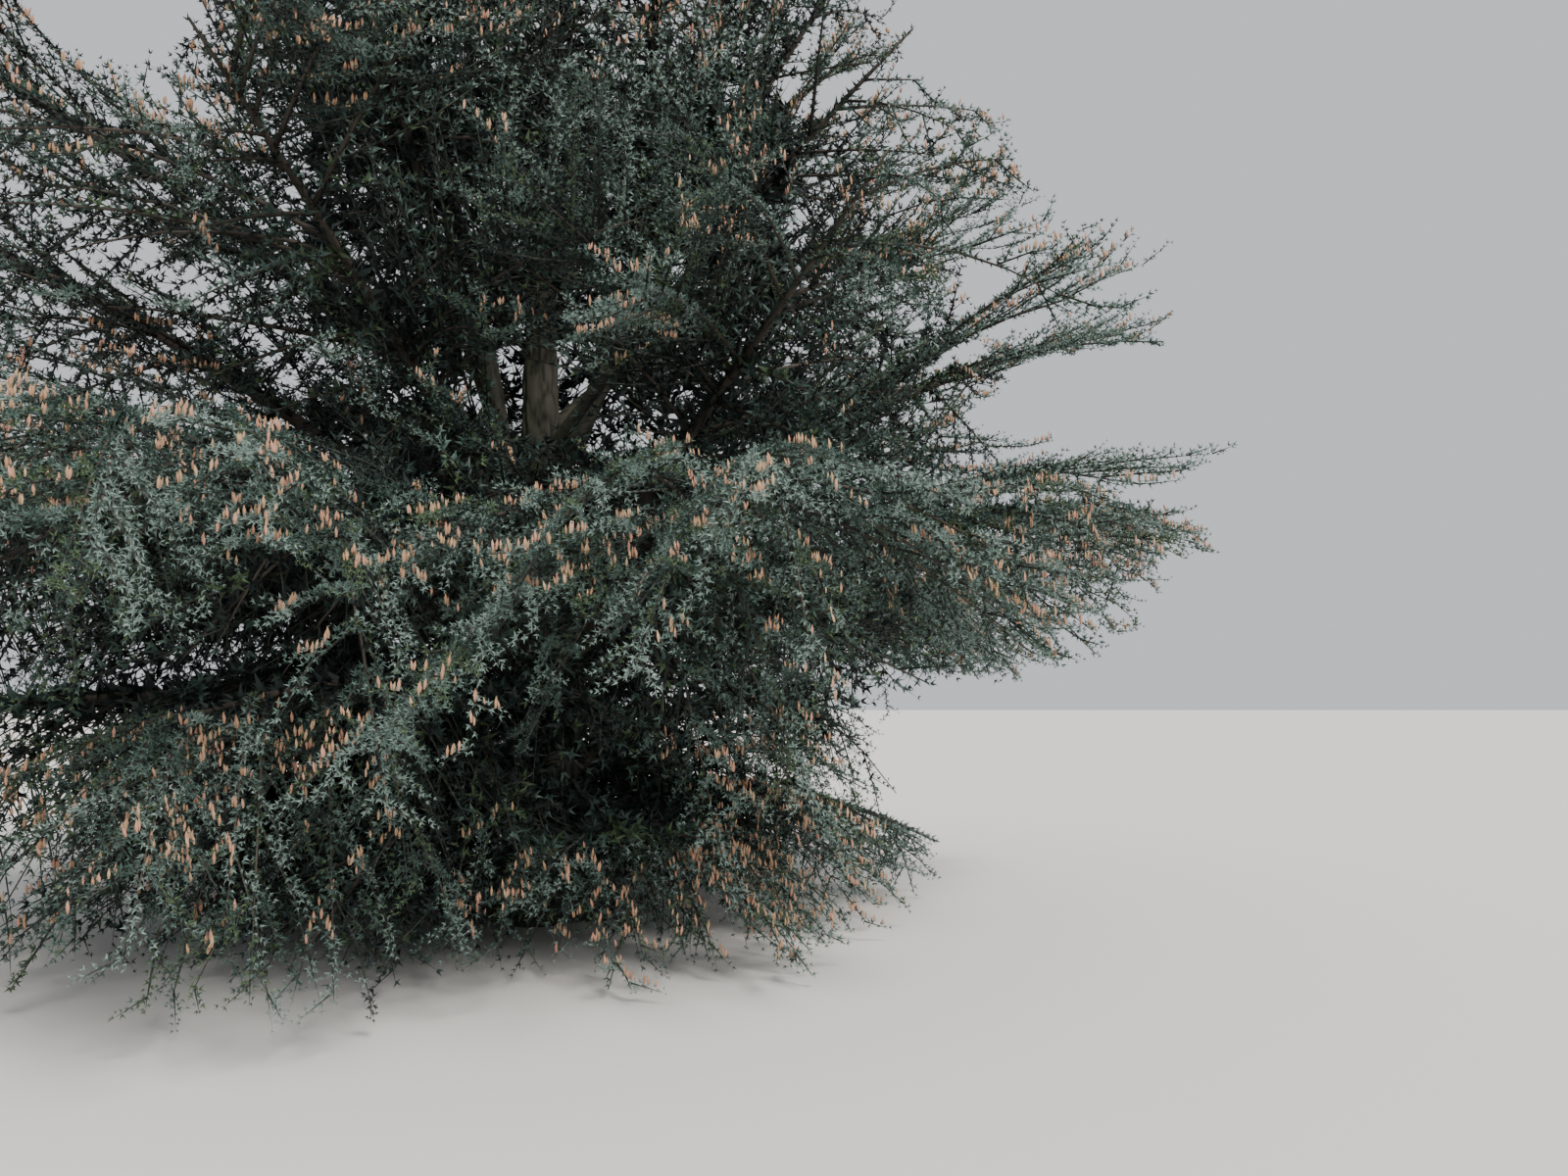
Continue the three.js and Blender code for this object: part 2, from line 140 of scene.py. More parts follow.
# %% Stems
STEMS = {
    "trunk": dict(
        axis=[(0, 0, 0), (-0.045, 0.005, 1.62), (-0.09, 0.015, 3.24),
              (-0.105, 0.02, 4.86), (-0.085, 0.02, 6.48), (-0.04, 0.01, 8.1)],
        radius=0.290, tip_radius=0.042, taper=1.6, top=2.25),
    "leader_left": dict(
        axis=[(-0.06, 0.01, 1.85), (-0.33, 0.03, 2.7), (-0.44, 0.03, 3.7),
              (-0.78, 0, 5.2), (-1.13, -0.04, 6.3), (-1.37, -0.08, 7.1)],
        radius=0.118, tip_radius=0.030, taper=0.9, top=1.65),
    "leader_right": dict(
        axis=[(-0.095, 0.02, 3.0), (0.23, 0.09, 3.65), (0.62, 0.22, 4.7),
              (0.98, 0.33, 5.7), (1.23, 0.4, 6.5)],
        radius=0.096, tip_radius=0.028, taper=0.9, top=1.6),
}
FLARE_RADIUS, FLARE_HEIGHT = 0.130, 0.260
BUTTRESSES, BUTTRESS_SHARE = 5, 0.35
HALVINGS, SMALL_STEP = 30, 1e-4


def through(points):
    """A smooth curve through the points, as a function of the share from 0 to 1."""
    points = np.array(points, float)
    padded = np.vstack([2 * points[0] - points[1], points, 2 * points[-1] - points[-2]])

    def at(share):
        place = np.clip(share, 0.0, 1.0) * (len(points) - 1)
        piece = min(int(place), len(points) - 2)
        t = place - piece
        before, start, end, after = padded[piece:piece + 4]
        leave, arrive = (end - before) / 2, (after - start) / 2
        square = 3 * (end - start) - 2 * leave - arrive
        cube = 2 * (start - end) + leave + arrive
        return start + t * leave + t * t * square + t ** 3 * cube

    return at


def direction_on(curve, share):
    return unit(curve(min(share + SMALL_STEP, 1.0)) - curve(max(share - SMALL_STEP, 0.0)))


def stem_radius(stem, share, angle=0.0):
    radius = stem["tip_radius"] + (stem["radius"] - stem["tip_radius"]) * (1 - share) ** stem["taper"]
    if stem["name"] != "trunk":
        return radius
    fading = math.exp(-stem["curve"](share)[2] / FLARE_HEIGHT)
    return radius + FLARE_RADIUS * fading * (1 + BUTTRESS_SHARE * np.cos(BUTTRESSES * angle))


def axis_at(stem, height):
    """The middle of a stem at a height, found by halving."""
    low, high = 0.0, 1.0
    for _ in range(HALVINGS):
        middle = (low + high) / 2
        low, high = (middle, high) if stem["curve"](middle)[2] < height else (low, middle)
    return stem["curve"](low)


for name, stem in STEMS.items():
    stem["name"], stem["curve"] = name, through(stem["axis"])
    print(name, "ends at", stem["curve"](1.0).round(2))

# %% [markdown]
# A cedar carries its limbs in rough tiers. The low ones hang to the ground as skirts, the middle ones arch
# over, and the top ones stand steeply. A table gives each tier's number of limbs, their turns in degrees,
# the height of the foot, the rise, the reach and height of the tip, and what its side branches are like.
# Three points are enough for a limb: it leaves its stem toward the bend, and turns over to reach its tip.

# %% Tiers of limbs
COLUMNS = ("count", "step", "turn", "foot", "rise", "reach", "tip", "length", "weep", "branches", "bare")
TIERS = {
    "skirt": (6, 60.0, 308.0, 0.62, 28.0, 3.20, 0.38, 1.65, 0.55, 8, False),
    "drape": (5, 50.0, 50.0, 1.09, 30.0, 4.30, 1.35, 2.00, 0.70, 8, False),
    "low": (7, 51.4, 304.0, 1.59, 34.0, 5.00, 2.70, 2.40, 0.60, 9, True),
    "middle": (6, 60.0, 310.0, 2.18, 41.0, 4.70, 4.60, 2.30, 0.45, 9, True),
    "upper": (5, 72.0, 330.0, 3.50, 44.0, 4.15, 6.05, 2.00, 0.35, 9, True),
    "crown": (7, 51.4, 295.0, 5.00, 50.0, 2.95, 7.50, 1.50, 0.28, 7, False),
}
TURN_PLAY, REACH_PLAY, BOW_PLAY = (-6, 6), (0.94, 1.04), (-0.07, 0.07)
FOOT_PLAY, TIP_PLAY = 0.23, (-0.22, 0.26)
FRONT, FRONT_SHORT = 285.0, 0.25
RADIUS_PER_REACH, BOUGH_TIP_RADIUS, BOUGH_TAPER = 0.0155, 0.007, 0.85
COLLAR, COLLAR_LENGTH = 0.2, 0.05
BOUGH_SHARE, STALK_SHARE, BEND_AT = 0.3, 0.28, 0.45
GOLDEN_TURN = 137.5
LEADER_CLEAR = 0.7
TOUCH_GAP, LONG_REACH = 0.0003, 5


def carrier_of(height, outward):
    """The stem that stands furthest out on the limb's own side at the height of its foot."""
    standing = [s for s in STEMS.values() if s["curve"](0.0)[2] + LEADER_CLEAR < height < s["curve"](1.0)[2]]
    return max(standing or [STEMS["trunk"]], key=lambda stem: axis_at(stem, height) @ outward)


def make_limb(number, name, tier, index):
    draw = seeded(1000 * number + 10 * index + 7)
    compass = tier["turn"] + index * tier["step"] + within(TURN_PLAY, draw)
    azimuth = math.radians(compass)
    outward = np.array([math.cos(azimuth), math.sin(azimuth), 0.0])
    sideways = np.array([-outward[1], outward[0], 0.0])
    facing = max(0.0, math.cos(math.radians(compass - FRONT)))
    reach = tier["reach"] * (1 - FRONT_SHORT * facing) * within(REACH_PLAY, draw)
    foot = tier["foot"] + lerp(-FOOT_PLAY, FOOT_PLAY, (index * GOLDEN_TURN / 360) % 1)
    tip_height = tier["tip"] + within(TIP_PLAY, draw)
    start = axis_at(carrier_of(foot, outward), foot)
    tip = outward * reach + UP * tip_height
    run = (tip - start) * (1, 1, 0)
    bend = start + run * BEND_AT + sideways * reach * within(BOW_PLAY, draw)
    bend[2] = foot + BEND_AT * np.linalg.norm(run) * math.tan(math.radians(tier["rise"]))

    def curve(share):
        return (1 - share) ** 2 * start + 2 * share * (1 - share) * bend + share ** 2 * tip

    def radius(share):
        taper = BOUGH_TIP_RADIUS + (reach * RADIUS_PER_REACH - BOUGH_TIP_RADIUS) * (1 - share) ** BOUGH_TAPER
        return taper * (1 + COLLAR * math.exp(-share / COLLAR_LENGTH))

    bare, label = tier["bare"], f"{name}_{index + 1}"
    return dict(
        name="foliage_" + label, bough="bough_" + label if bare else None, tier=name,
        seed=10 * number + index + 1, curve=curve, radius=radius, whorled=False, settings=tier,
        first=BOUGH_SHARE + TOUCH_GAP / LONG_REACH if bare else 0.0, stalk=0.0 if bare else STALK_SHARE)


limbs = []
for number, (name, row) in enumerate(TIERS.items()):
    tier = dict(zip(COLUMNS, row))
    limbs += [make_limb(number, name, tier, index) for index in range(tier["count"])]
boughs = [limb for limb in limbs if limb["bough"]]
print("limbs", len(limbs), "of which bare at the foot", len(boughs))

# %% [markdown]
# The trunk and the leaders end inside the crown, and a leading shoot goes on from each of them with
# branches all round it. A mass of foliage is a limb beyond its bare bough, or a leading shoot. Six straight
# pieces stand for its stem, as in the solids, and side branches start on those pieces.

# %% Masses of foliage
TOP = dict(length=1.35, weep=0.2, branches=8)
TOP_SEED = 90
STEM_PIECES = 6


def make_top(order, stem):
    tip = stem["curve"](1.0)
    along = UP if stem["name"] == "trunk" else direction_on(stem["curve"], 1.0)

    def curve(share):
        return tip + along * lerp(TOUCH_GAP, stem["top"], share)

    def radius(share):
        return lerp(stem["tip_radius"], BOUGH_TIP_RADIUS, share)

    return dict(
        name="foliage_top_of_" + stem["name"], bough=None, tier="top", seed=TOP_SEED + order, curve=curve,
        radius=radius, whorled=True, settings=TOP, first=0.0, stalk=0.0)


def place_on(mass, share):
    piece = min(int(share * STEM_PIECES), STEM_PIECES - 1)
    start = lerp(mass["spine"][piece], mass["spine"][piece + 1], share * STEM_PIECES - piece)
    return start, direction_on(mass["curve"], lerp(mass["first"], 1.0, share))


masses = limbs + [make_top(order, stem) for order, stem in enumerate(STEMS.values())]
for mass in masses:
    joints = [lerp(mass["first"], 1.0, i / STEM_PIECES) for i in range(STEM_PIECES + 1)]
    mass["spine"] = np.array([mass["curve"](share) for share in joints])
print("masses", len(masses))

# %% [markdown]
# The crown's right-hand outline is known from the photograph: tips stand out at some heights, and at others
# the sky comes in. It is written as a few points in the camera's own view, how far aside the edge is for
# each height, both as tangents of the angle off the camera's axis. Limbs end where they would cross it.

# %% Outline of the crown
OUTLINE_HEIGHT = (
    -0.33, -0.29, -0.263, -0.225, -0.19, -0.165, -0.14, -0.09, -0.078, -0.07, -0.042,
    0.0, 0.042, 0.10, 0.17, 0.254, 0.30, 0.379, 0.412, 0.471, 0.52)
OUTLINE_ASIDE = (
    0.04, 0.13, 0.167, 0.150, 0.115, 0.090, 0.067, 0.09, 0.20, 0.235, 0.275,
    0.32, 0.363, 0.38, 0.37, 0.355, 0.335, 0.250, 0.215, 0.125, 0.08)
NEAREST = 0.5
TIP_ROOM, SHORTEST, PLACES_TRIED = -0.015, 0.15, 41
camera_tilt = math.radians(TILT)
VIEW_AXIS = np.array([0.0, math.cos(camera_tilt), math.sin(camera_tilt)])
VIEW_UP = np.array([0.0, -math.sin(camera_tilt), math.cos(camera_tilt)])


def in_view(points):
    """How far aside and how high the camera sees each point, as tangents."""
    off = np.atleast_2d(points) - eye
    far = np.maximum(off @ VIEW_AXIS, NEAREST)
    return off[:, 0] / far, off @ VIEW_UP / far


def inside_outline(points, slack=0.0):
    """Whether points are left of the crown's right-hand outline, give or take slack."""
    aside, height = in_view(points)
    return aside < np.interp(height, OUTLINE_HEIGHT, OUTLINE_ASIDE) + slack


for mass in masses:
    shares = np.linspace(0, 1, PLACES_TRIED)
    inside = inside_outline([place_on(mass, share)[0] for share in shares], TIP_ROOM)
    mass["end"] = 1.0 if inside.all() else max(float(shares[np.argmin(inside)]), SHORTEST)
print("shortened masses", {mass["name"]: round(mass["end"], 2) for mass in masses if mass["end"] < 1})

# %% [markdown]
# Between the limbs the photograph shows patches of sky. Each is written as an ellipse in the camera's view,
# by its middle and its half sizes, as tangents again. Nothing grows in front of or behind it, so limbs
# stand out one by one against the light. One more ellipse keeps the view open to a stretch of bare trunk,
# where only what would stand in front of the trunk is left out. Round the patches the crown is airy, and
# sprays are thinned there later on.

# %% Patches of sky
SKY_PATCHES = (
    (0.305, 0.172, 0.115, 0.032),
    (0.215, 0.152, 0.050, 0.018),
    (0.273, 0.352, 0.058, 0.026),
    (0.182, 0.268, 0.017, 0.018),
    (0.150, 0.452, 0.048, 0.022),
    (0.036, 0.422, 0.050, 0.017),
    (0.095, 0.328, 0.024, 0.012),
    (0.020, 0.264, 0.024, 0.010),
    (-0.569, 0.492, 0.078, 0.036),
    (-0.569, 0.375, 0.024, 0.015),
    (-0.562, 0.285, 0.030, 0.017),
    (-0.617, 0.268, 0.018, 0.013),
    (-0.530, 0.212, 0.016, 0.009),
    (-0.495, 0.259, 0.017, 0.012),
    (-0.530, 0.327, 0.026, 0.010),
)
TRUNK_WINDOW, WINDOW_FRONT = (-0.215, 0.172, 0.024, 0.050), -0.25
AIRY_EDGE, AIRY_LEFT, AIRY_ABOVE = 0.22, -0.40, 0.13
AIRY_RIGHT, AIRY_HIGH = 0.0, 0.23


def in_ellipse(aside, height, ellipse):
    middle, level, half_width, half_height = ellipse
    return ((aside - middle) / half_width) ** 2 + ((height - level) / half_height) ** 2 < 1


def in_sky_patch(points):
    """Whether the camera sees points inside a patch of sky, or in front of the bare stretch of trunk."""
    aside, height = in_view(points)
    inside = in_ellipse(aside, height, TRUNK_WINDOW) & (points[:, 1] < WINDOW_FRONT)
    for ellipse in SKY_PATCHES:
        inside |= in_ellipse(aside, height, ellipse)
    return inside


def airy(points):
    """Whether the camera sees points at the upper right or the upper left, where much sky shows."""
    aside, height = in_view(points)
    near_edge = aside > np.interp(height, OUTLINE_HEIGHT, OUTLINE_ASIDE) - AIRY_EDGE
    upper_right = (aside > AIRY_RIGHT) & (height > AIRY_HIGH)
    return upper_right | (height > AIRY_ABOVE) & (near_edge | (aside < AIRY_LEFT))


print("patches of sky", len(SKY_PATCHES))

# %% [markdown]
# Neighbouring limbs compete for light, and their sprays end before they meet. So every mass has its own
# space: it is nearer its own stem than any other mass's, clear of the bare wood and of the ground. The test
# is the solids' own. It measures many points against all the straight pieces at once, because one array is
# quicker than many loops.

# %% Own space
GROUND_CLEARANCE, LIMB_CLEARANCE, SPACE_MARGIN = 0.045, 0.030, 0.040
STEM_POINTS, BOUGH_POINTS = 25, 9
SPARE, BATCH = 0.18, 4000


def chain(curve, radius, last, count):
    """The starts, ends and radii of the straight pieces that stand for a curve, up to a share of it."""
    shares = [lerp(0.0, last, i / (count - 1)) for i in range(count)]
    points = np.array([curve(s) for s in shares])
    sizes = np.array([radius(s) for s in shares])
    return points[:-1], points[1:], np.maximum(sizes[:-1], sizes[1:])


def distances(points, starts, ends):
    """How far each point is from each straight piece."""
    along = ends - starts
    share = np.einsum("nsk,sk->ns", points[:, None, :] - starts, along) / (along ** 2).sum(1)
    nearest = starts + np.clip(share, 0, 1)[..., None] * along
    return np.linalg.norm(points[:, None, :] - nearest, axis=2)


wood = [chain(s["curve"], lambda share, s=s: stem_radius(s, share), 1.0, STEM_POINTS) for s in STEMS.values()]
wood += [chain(limb["curve"], limb["radius"], BOUGH_SHARE, BOUGH_POINTS) for limb in boughs]
wood_from, wood_to, wood_radius = (np.concatenate([row[i] for row in wood]) for i in range(3))
spine_from = np.concatenate([mass["spine"][:-1] for mass in masses])
spine_to = np.concatenate([mass["spine"][1:] for mass in masses])
box_low, box_high = np.array(cad_box[0]) - SPARE, np.array(cad_box[1]) + SPARE


def has_room(points, owners, overlap, slack):
    """Whether each point is in its own mass's space. owners are the masses' numbers, or -1 for none."""
    owners = np.broadcast_to(owners, len(points))
    kept = np.zeros(len(points), bool)
    for i in range(0, len(points), BATCH):
        some, whose = points[i:i + BATCH], owners[i:i + BATCH]
        clear = (distances(some, wood_from, wood_to) - wood_radius).min(1) >= LIMB_CLEARANCE
        spines = distances(some, spine_from, spine_to).reshape(len(some), -1, STEM_PIECES).min(2)
        rows = np.arange(len(some))
        own = spines[rows, whose] + 2 * SPACE_MARGIN - overlap
        spines[rows, whose] = np.inf
        boxed = ((some > box_low) & (some < box_high)).all(1) & (some[:, 2] >= GROUND_CLEARANCE)
        kept[i:i + BATCH] = clear & boxed & ((spines.min(1) > own) | (whose < 0))
    return kept & inside_outline(points, slack) & ~in_sky_patch(points)


print("straight pieces of bare wood", len(wood_from), "and of foliage stems", len(spine_from))

# %% [markdown]
# A side branch leaves its stem to one side or the other, and every third one hangs. It weeps more the
# further it goes, and stops where its space ends. The first set of branches repeats the solids' numbers
# exactly. Two more sets grow between them, and one more on the low limbs at the left, since the photograph
# shows nothing through them. They may reach a little into the next mass, as curtains of sprays do.

# %% Side branches
SPREAD, ROLL_PLAY = (66.0, 40.0), (-24, 24)
FIRST_FOOT, LAST_FOOT, MORE_STALK = 0.04, 0.97, 0.4
HANGING_EVERY, HANGING_SIZE = 3, 0.7
FLAT_FULL, TOP_FULL = (0.75, 1.25, 0.85), (1.5, 1.5, 1.3)
LENGTH_PLAY, WEEP_PLAY, EDGE_PLAY = (0.85, 1.15), (0.6, 1.3), (-0.07, 0.03)
STIFFER = {"skirt": 1.0, "drape": 1.0, "low": 0.8, "middle": 0.45, "upper": 0.25, "crown": 0.25, "top": 0.4}
RIB_STEP, FEWEST_RIBS, MOST_RIBS = 0.48, 2, 4
OVERLAP, OFF_GROUND = 0.8, 0.22
SETS = 3
FULLER_LEFT, FULLER_BELOW = -0.35, 0.25


def fullness(foot, full, fade, share):
    """How long a twig is at a share of its stem: longer from the foot on, then shorter to the tip."""
    return min(foot + share, full - fade * share)


def turned(vector, axis, angle):
    flat = vector * math.cos(angle) + np.cross(axis, vector) * math.sin(angle)
    return flat + axis * (axis @ vector) * (1 - math.cos(angle))


def branch_out(owner, start, along, across, spread, length, drop, draw, least, overlap):
    """A branch that leaves its stem at start, grown as far as it has room, or None."""
    direction = along * math.cos(spread) + across * math.sin(spread)
    steps = int(min(max(math.floor(length / RIB_STEP + 0.5), FEWEST_RIBS), MOST_RIBS))
    parts = np.arange(1, steps + 1) / steps
    points = start + direction * length * parts[:, None] - UP * drop * length * parts[:, None] ** 2
    room = has_room(points, owner, overlap, within(EDGE_PLAY, draw))
    room &= points[:, 2] > (OFF_GROUND if overlap else 0.0)
    fitted = steps if room.all() else int(np.argmin(room))
    if fitted < least:
        return None
    return dict(owner=owner, start=start, along=along, direction=direction, length=length, drop=drop,
                fit=fitted / steps, draw=draw)


def grow_branch(owner, index, more):
    """One side branch of a mass. more is 0 for the solids' own branches and counts the sets beyond them."""
    mass = masses[owner]
    settings, whorled = mass["settings"], mass["whorled"]
    draw = seeded(100 * mass["seed"] + index + 31 * more)
    stalk = mass["stalk"] if more == 0 else MORE_STALK * mass["stalk"]
    share = lerp(stalk + FIRST_FOOT, LAST_FOOT, (index + draw()) / settings["branches"])
    if share > mass["end"]:
        return None
    start, along = place_on(mass, share)
    level = np.cross(RIGHT, along) if whorled else np.cross(along, UP)
    turn = index + more
    hanging = not whorled and turn % HANGING_EVERY == HANGING_EVERY - 1
    roll = turn * GOLDEN_TURN if whorled else 90.0 if hanging else (turn % 2) * 180.0
    across = turned(unit(level), along, math.radians(roll + within(ROLL_PLAY, draw)))
    size = settings["length"] * (HANGING_SIZE if hanging else 1.0)
    full = TOP_FULL if whorled and more else FLAT_FULL
    length = size * fullness(*full, share) * within(LENGTH_PLAY, draw)
    drop = settings["weep"] * within(WEEP_PLAY, draw) * (STIFFER[mass["tier"]] if more else 1.0)
    spread = math.radians(lerp(*SPREAD, share))
    least, overlap = (1, OVERLAP) if more else (2, 0.0)
    return branch_out(owner, start, along, across, spread, length, drop, draw, least, overlap)


def at_lower_left(mass):
    aside, height = in_view(mass["curve"](1.0))
    return aside[0] < FULLER_LEFT and height[0] < FULLER_BELOW


leftward = [owner for owner, mass in enumerate(masses) if at_lower_left(mass)]
sets = [(owner, more) for more in range(SETS) for owner in range(len(masses))]
branches = []
for owner, more in sets + [(owner, SETS) for owner in leftward]:
    branches += [grow_branch(owner, index, more) for index in range(masses[owner]["settings"]["branches"])]
branches = [branch for branch in branches if branch]
print("masses with one more set of branches", [masses[owner]["name"] for owner in leftward])
print("side branches", len(branches))

# %% [markdown]
# Inside the crown only short shaded branches live, on the inner part of every limb and on the stems. They
# are left out of the solids, but without them daylight would show through the middle of the tree. Those on
# the stems turn round them by the golden angle, as many plants space their shoots. Where the photograph
# shows the bare trunk, the front stays free of them.

# %% Shaded inner branches
INNER_ON_BOUGH, INNER_REACH, INNER_STEP = 9, (0.1, 0.58), 0.12
INNER_ROLL, INNER_SPREAD, INNER_LENGTH = (-50, 50), (50, 75), (0.9, 1.5)
INNER_WEEP, INNER_OVERLAP = 0.35, 1.0
INNER_HEIGHTS = {"trunk": (0.75, 8.1), "leader_left": (3.4, 7.1), "leader_right": (3.9, 6.5)}
OPEN_HEIGHTS, OPEN_BEFORE = (3.1, 4.5), 0.15
HEIGHT_PLAY, STEM_SPREAD = (-0.05, 0.05), (58, 82)
STEM_LENGTHS = ((3.0, (0.8, 1.5)), (6.0, (0.7, 1.25)), (9.0, (0.9, 1.45)))
WEEP_BELOW, WEEP_LOW, WEEP_HIGH = 3.5, 0.7, 0.3


def grow_on_bough(owner, index):
    limb = masses[owner]
    draw = seeded(7000 + 10 * limb["seed"] + index)
    share = lerp(*INNER_REACH, (index + draw()) / INNER_ON_BOUGH)
    along = direction_on(limb["curve"], share)
    roll = math.radians((index % 2) * 180 + within(INNER_ROLL, draw))
    across = turned(unit(np.cross(along, UP)), along, roll)
    spread, length = math.radians(within(INNER_SPREAD, draw)), within(INNER_LENGTH, draw)
    start = limb["curve"](share)
    return branch_out(owner, start, along, across, spread, length, INNER_WEEP, draw, 1, INNER_OVERLAP)


def grow_on_stem(stem, index, height):
    draw = seeded(9000 + 100 * len(stem["name"]) + index)
    start = axis_at(stem, height + within(HEIGHT_PLAY, draw))
    across = turned(RIGHT, UP, math.radians(index * GOLDEN_TURN))
    if OPEN_HEIGHTS[0] < height < OPEN_HEIGHTS[1] and across[1] < OPEN_BEFORE:
        return None
    limits = next(pair for top, pair in STEM_LENGTHS if height < top)
    spread, length = math.radians(within(STEM_SPREAD, draw)), within(limits, draw)
    weep = WEEP_LOW if height < WEEP_BELOW else WEEP_HIGH
    return branch_out(-1, start, UP, across, spread, length, weep, draw, 1, 0.0)


inner = [grow_on_bough(owner, index) for owner in range(len(limbs)) for index in range(INNER_ON_BOUGH)]
for name, span in INNER_HEIGHTS.items():
    heights = np.arange(*span, INNER_STEP)
    inner += [grow_on_stem(STEMS[name], index, height) for index, height in enumerate(heights)]
inner = [branch for branch in inner if branch]
branches += inner
print("inner branches", len(inner))

# %% [markdown]
# Sprays grow from both sides of a branch in one plane, like a frond. Their angle, length and weeping follow
# the teeth of the solids. Higher up they lift their tips to the light and lie closer to their branch, which
# draws each branch out to a feathery point.

# %% Sprays
SPRAY_STEP, FEWEST_SPRAYS, FIRST_SPRAY = 0.20, 3, 0.55
SPRAY_SHARE, SHORT_SPRAY, LONG_SPRAY = 0.5, 0.26, 0.95
SPRAY_ANGLE, ANGLE_PLAY, CLOSING = math.radians(50), (0.75, 1.15), 0.5
SPRAY_FULL, SWELL_PLAY = (0.75, 1.35, 0.75), (0.7, 1.15)
SAG_PLAY, LIFT_PLAY = (0.4, 1.6), (0.6, 1.4)
END_SPRAY, END_LIFTED = 0.3, 0.5
LIFT = {"skirt": 0.0, "drape": 0.0, "low": 0.15, "middle": 0.38, "upper": 0.50, "crown": 0.45, "top": 0.3}
INNER_LIFT = 0.2
TRIES = (1.0, 0.6, 0.36)
TIP_PLAY_OUT, TIP_BIAS = 0.08, 0.7
AIRY_SHARE, AIRY_AT = 0.55, 0.7


def on_branch(branch, part):
    """The point and the direction at a part of a side branch."""
    off = branch["direction"] * part - UP * branch["drop"] * part ** 2
    onward = unit(branch["direction"] - UP * 2 * branch["drop"] * part)
    return branch["start"] + branch["length"] * off, onward


sprays = []
for branch in branches:
    draw, fit = branch["draw"], branch["fit"]
    lifted = INNER_LIFT if branch["owner"] < 0 else LIFT[masses[branch["owner"]]["tier"]]
    count = max(FEWEST_SPRAYS, int(branch["length"] * fit / SPRAY_STEP))
    for i in range(count):
        part = fit * (i + FIRST_SPRAY) / count
        point, onward = on_branch(branch, part)
        flank = unit(branch["along"] - onward * (branch["along"] @ onward))
        for side in (1, -1):
            swell = fullness(*SPRAY_FULL, part) * within(SWELL_PLAY, draw)
            wanted = min(max(branch["length"] * SPRAY_SHARE * swell, SHORT_SPRAY), LONG_SPRAY)
            angle = SPRAY_ANGLE * within(ANGLE_PLAY, draw) * (1 - CLOSING * lifted * part)
            way = onward * math.cos(angle) + flank * side * math.sin(angle)
            sag = branch["drop"] * within(SAG_PLAY, draw) - lifted * within(LIFT_PLAY, draw)
            sprays.append((branch["owner"], point, way, wanted, sag, draw(), draw()))
    point, onward = on_branch(branch, fit)
    sprays.append((branch["owner"], point, onward, END_SPRAY + END_LIFTED * lifted, -lifted, draw(), draw()))
print("sprays wanted", len(sprays))

# %% [markdown]
# Now the wish meets the space. Each spray is tried at its full length, then at six tenths of it and at a
# third, and is left out where none has room. In airy places nearly half of them are left out. What remains
# is kept as arrays with one row for each spray, because working on thousands of rows at once is quick.

# %% Sprays that fit
owner, foot, way, wanted, sag, luck, tint = (np.array(column) for column in zip(*sprays))
length = np.zeros(len(owner))
for share in TRIES:
    left = length == 0
    size = wanted * share
    slack = TIP_PLAY_OUT * (luck[left] - TIP_BIAS)
    room = left.copy()
    for t in (1.0, 0.5):
        point = foot + way * (size * t)[:, None] - UP * (sag * size * t * t)[:, None]
        room[left] &= has_room(point[left], owner[left], OVERLAP, slack)
    length[room] = size[room]
thinned = airy(foot + AIRY_AT * way * wanted[:, None]) & (luck > AIRY_SHARE)
columns = (owner, foot, way, sag, luck, tint, length)
owner, foot, way, sag, luck, tint, length = (column[(length > 0) & ~thinned] for column in columns)
spray_rows = np.arange(len(length))


def on_spray(rows, t):
    """Points on the sprays in rows, at the shares t, and the directions there."""
    size = length[rows]
    point = foot[rows] + way[rows] * (size * t)[:, None] - UP * (sag[rows] * size * t * t)[:, None]
    return point, units(way[rows] - UP * (2 * sag[rows] * t)[:, None])


def all_sprays_at(share):
    return on_spray(spray_rows, np.full(len(length), share))[0]


print("sprays", len(length), "metres of them", round(float(length.sum())))

# %% [markdown]
# How deep a place lies inside the crown decides how fine and how light its foliage is. The crown is cut
# into slices by height and by side. In each, the outermost tips give the edge, and depth is measured inward
# from there, in metres.

# %% Depth in the crown
SLICES, SLICE_HEIGHT, SIDES = 15, 0.75, 12
TRUNK_LEAN = 0.05
EDGE_PERCENT, ENOUGH_TIPS, LONE_EDGE, DEEPEST = 94, 4, 1.0, 4.0
DEPTH_AT = 0.6


def slice_of(points):
    """The number of each point's slice, and how far the point is from the trunk."""
    aside = points[:, 0] + TRUNK_LEAN
    level = np.clip((points[:, 2] / SLICE_HEIGHT).astype(int), 0, SLICES - 1)
    turn = (np.arctan2(points[:, 1], aside) / (2 * math.pi) * SIDES).astype(int) % SIDES
    return level * SIDES + turn, np.hypot(aside, points[:, 1])


def edge_of(tips):
    return np.percentile(tips, EDGE_PERCENT) if len(tips) > ENOUGH_TIPS else LONE_EDGE


number, radial = slice_of(all_sprays_at(1.0))
edge = np.array([edge_of(radial[number == k]) for k in range(SLICES * SIDES)])


def depth_in_crown(points):
    number, radial = slice_of(points)
    return np.clip(edge[number] - radial, 0.0, DEEPEST)


spray_depth = depth_in_crown(all_sprays_at(DEPTH_AT))
print("metres of spray in the outer half metre", round(float(length[spray_depth < 0.5].sum())))
print("a metre deep or more", round(float(length[spray_depth > 1].sum())))

# %% [markdown]
# Short side shoots stand off each spray like the teeth of a comb. They fill the gaps between sprays, and
# their ends give the crown its edge against the sky. Deep inside there are few. All of them come from one
# numbered list of places, so array operations take the place of a loop.

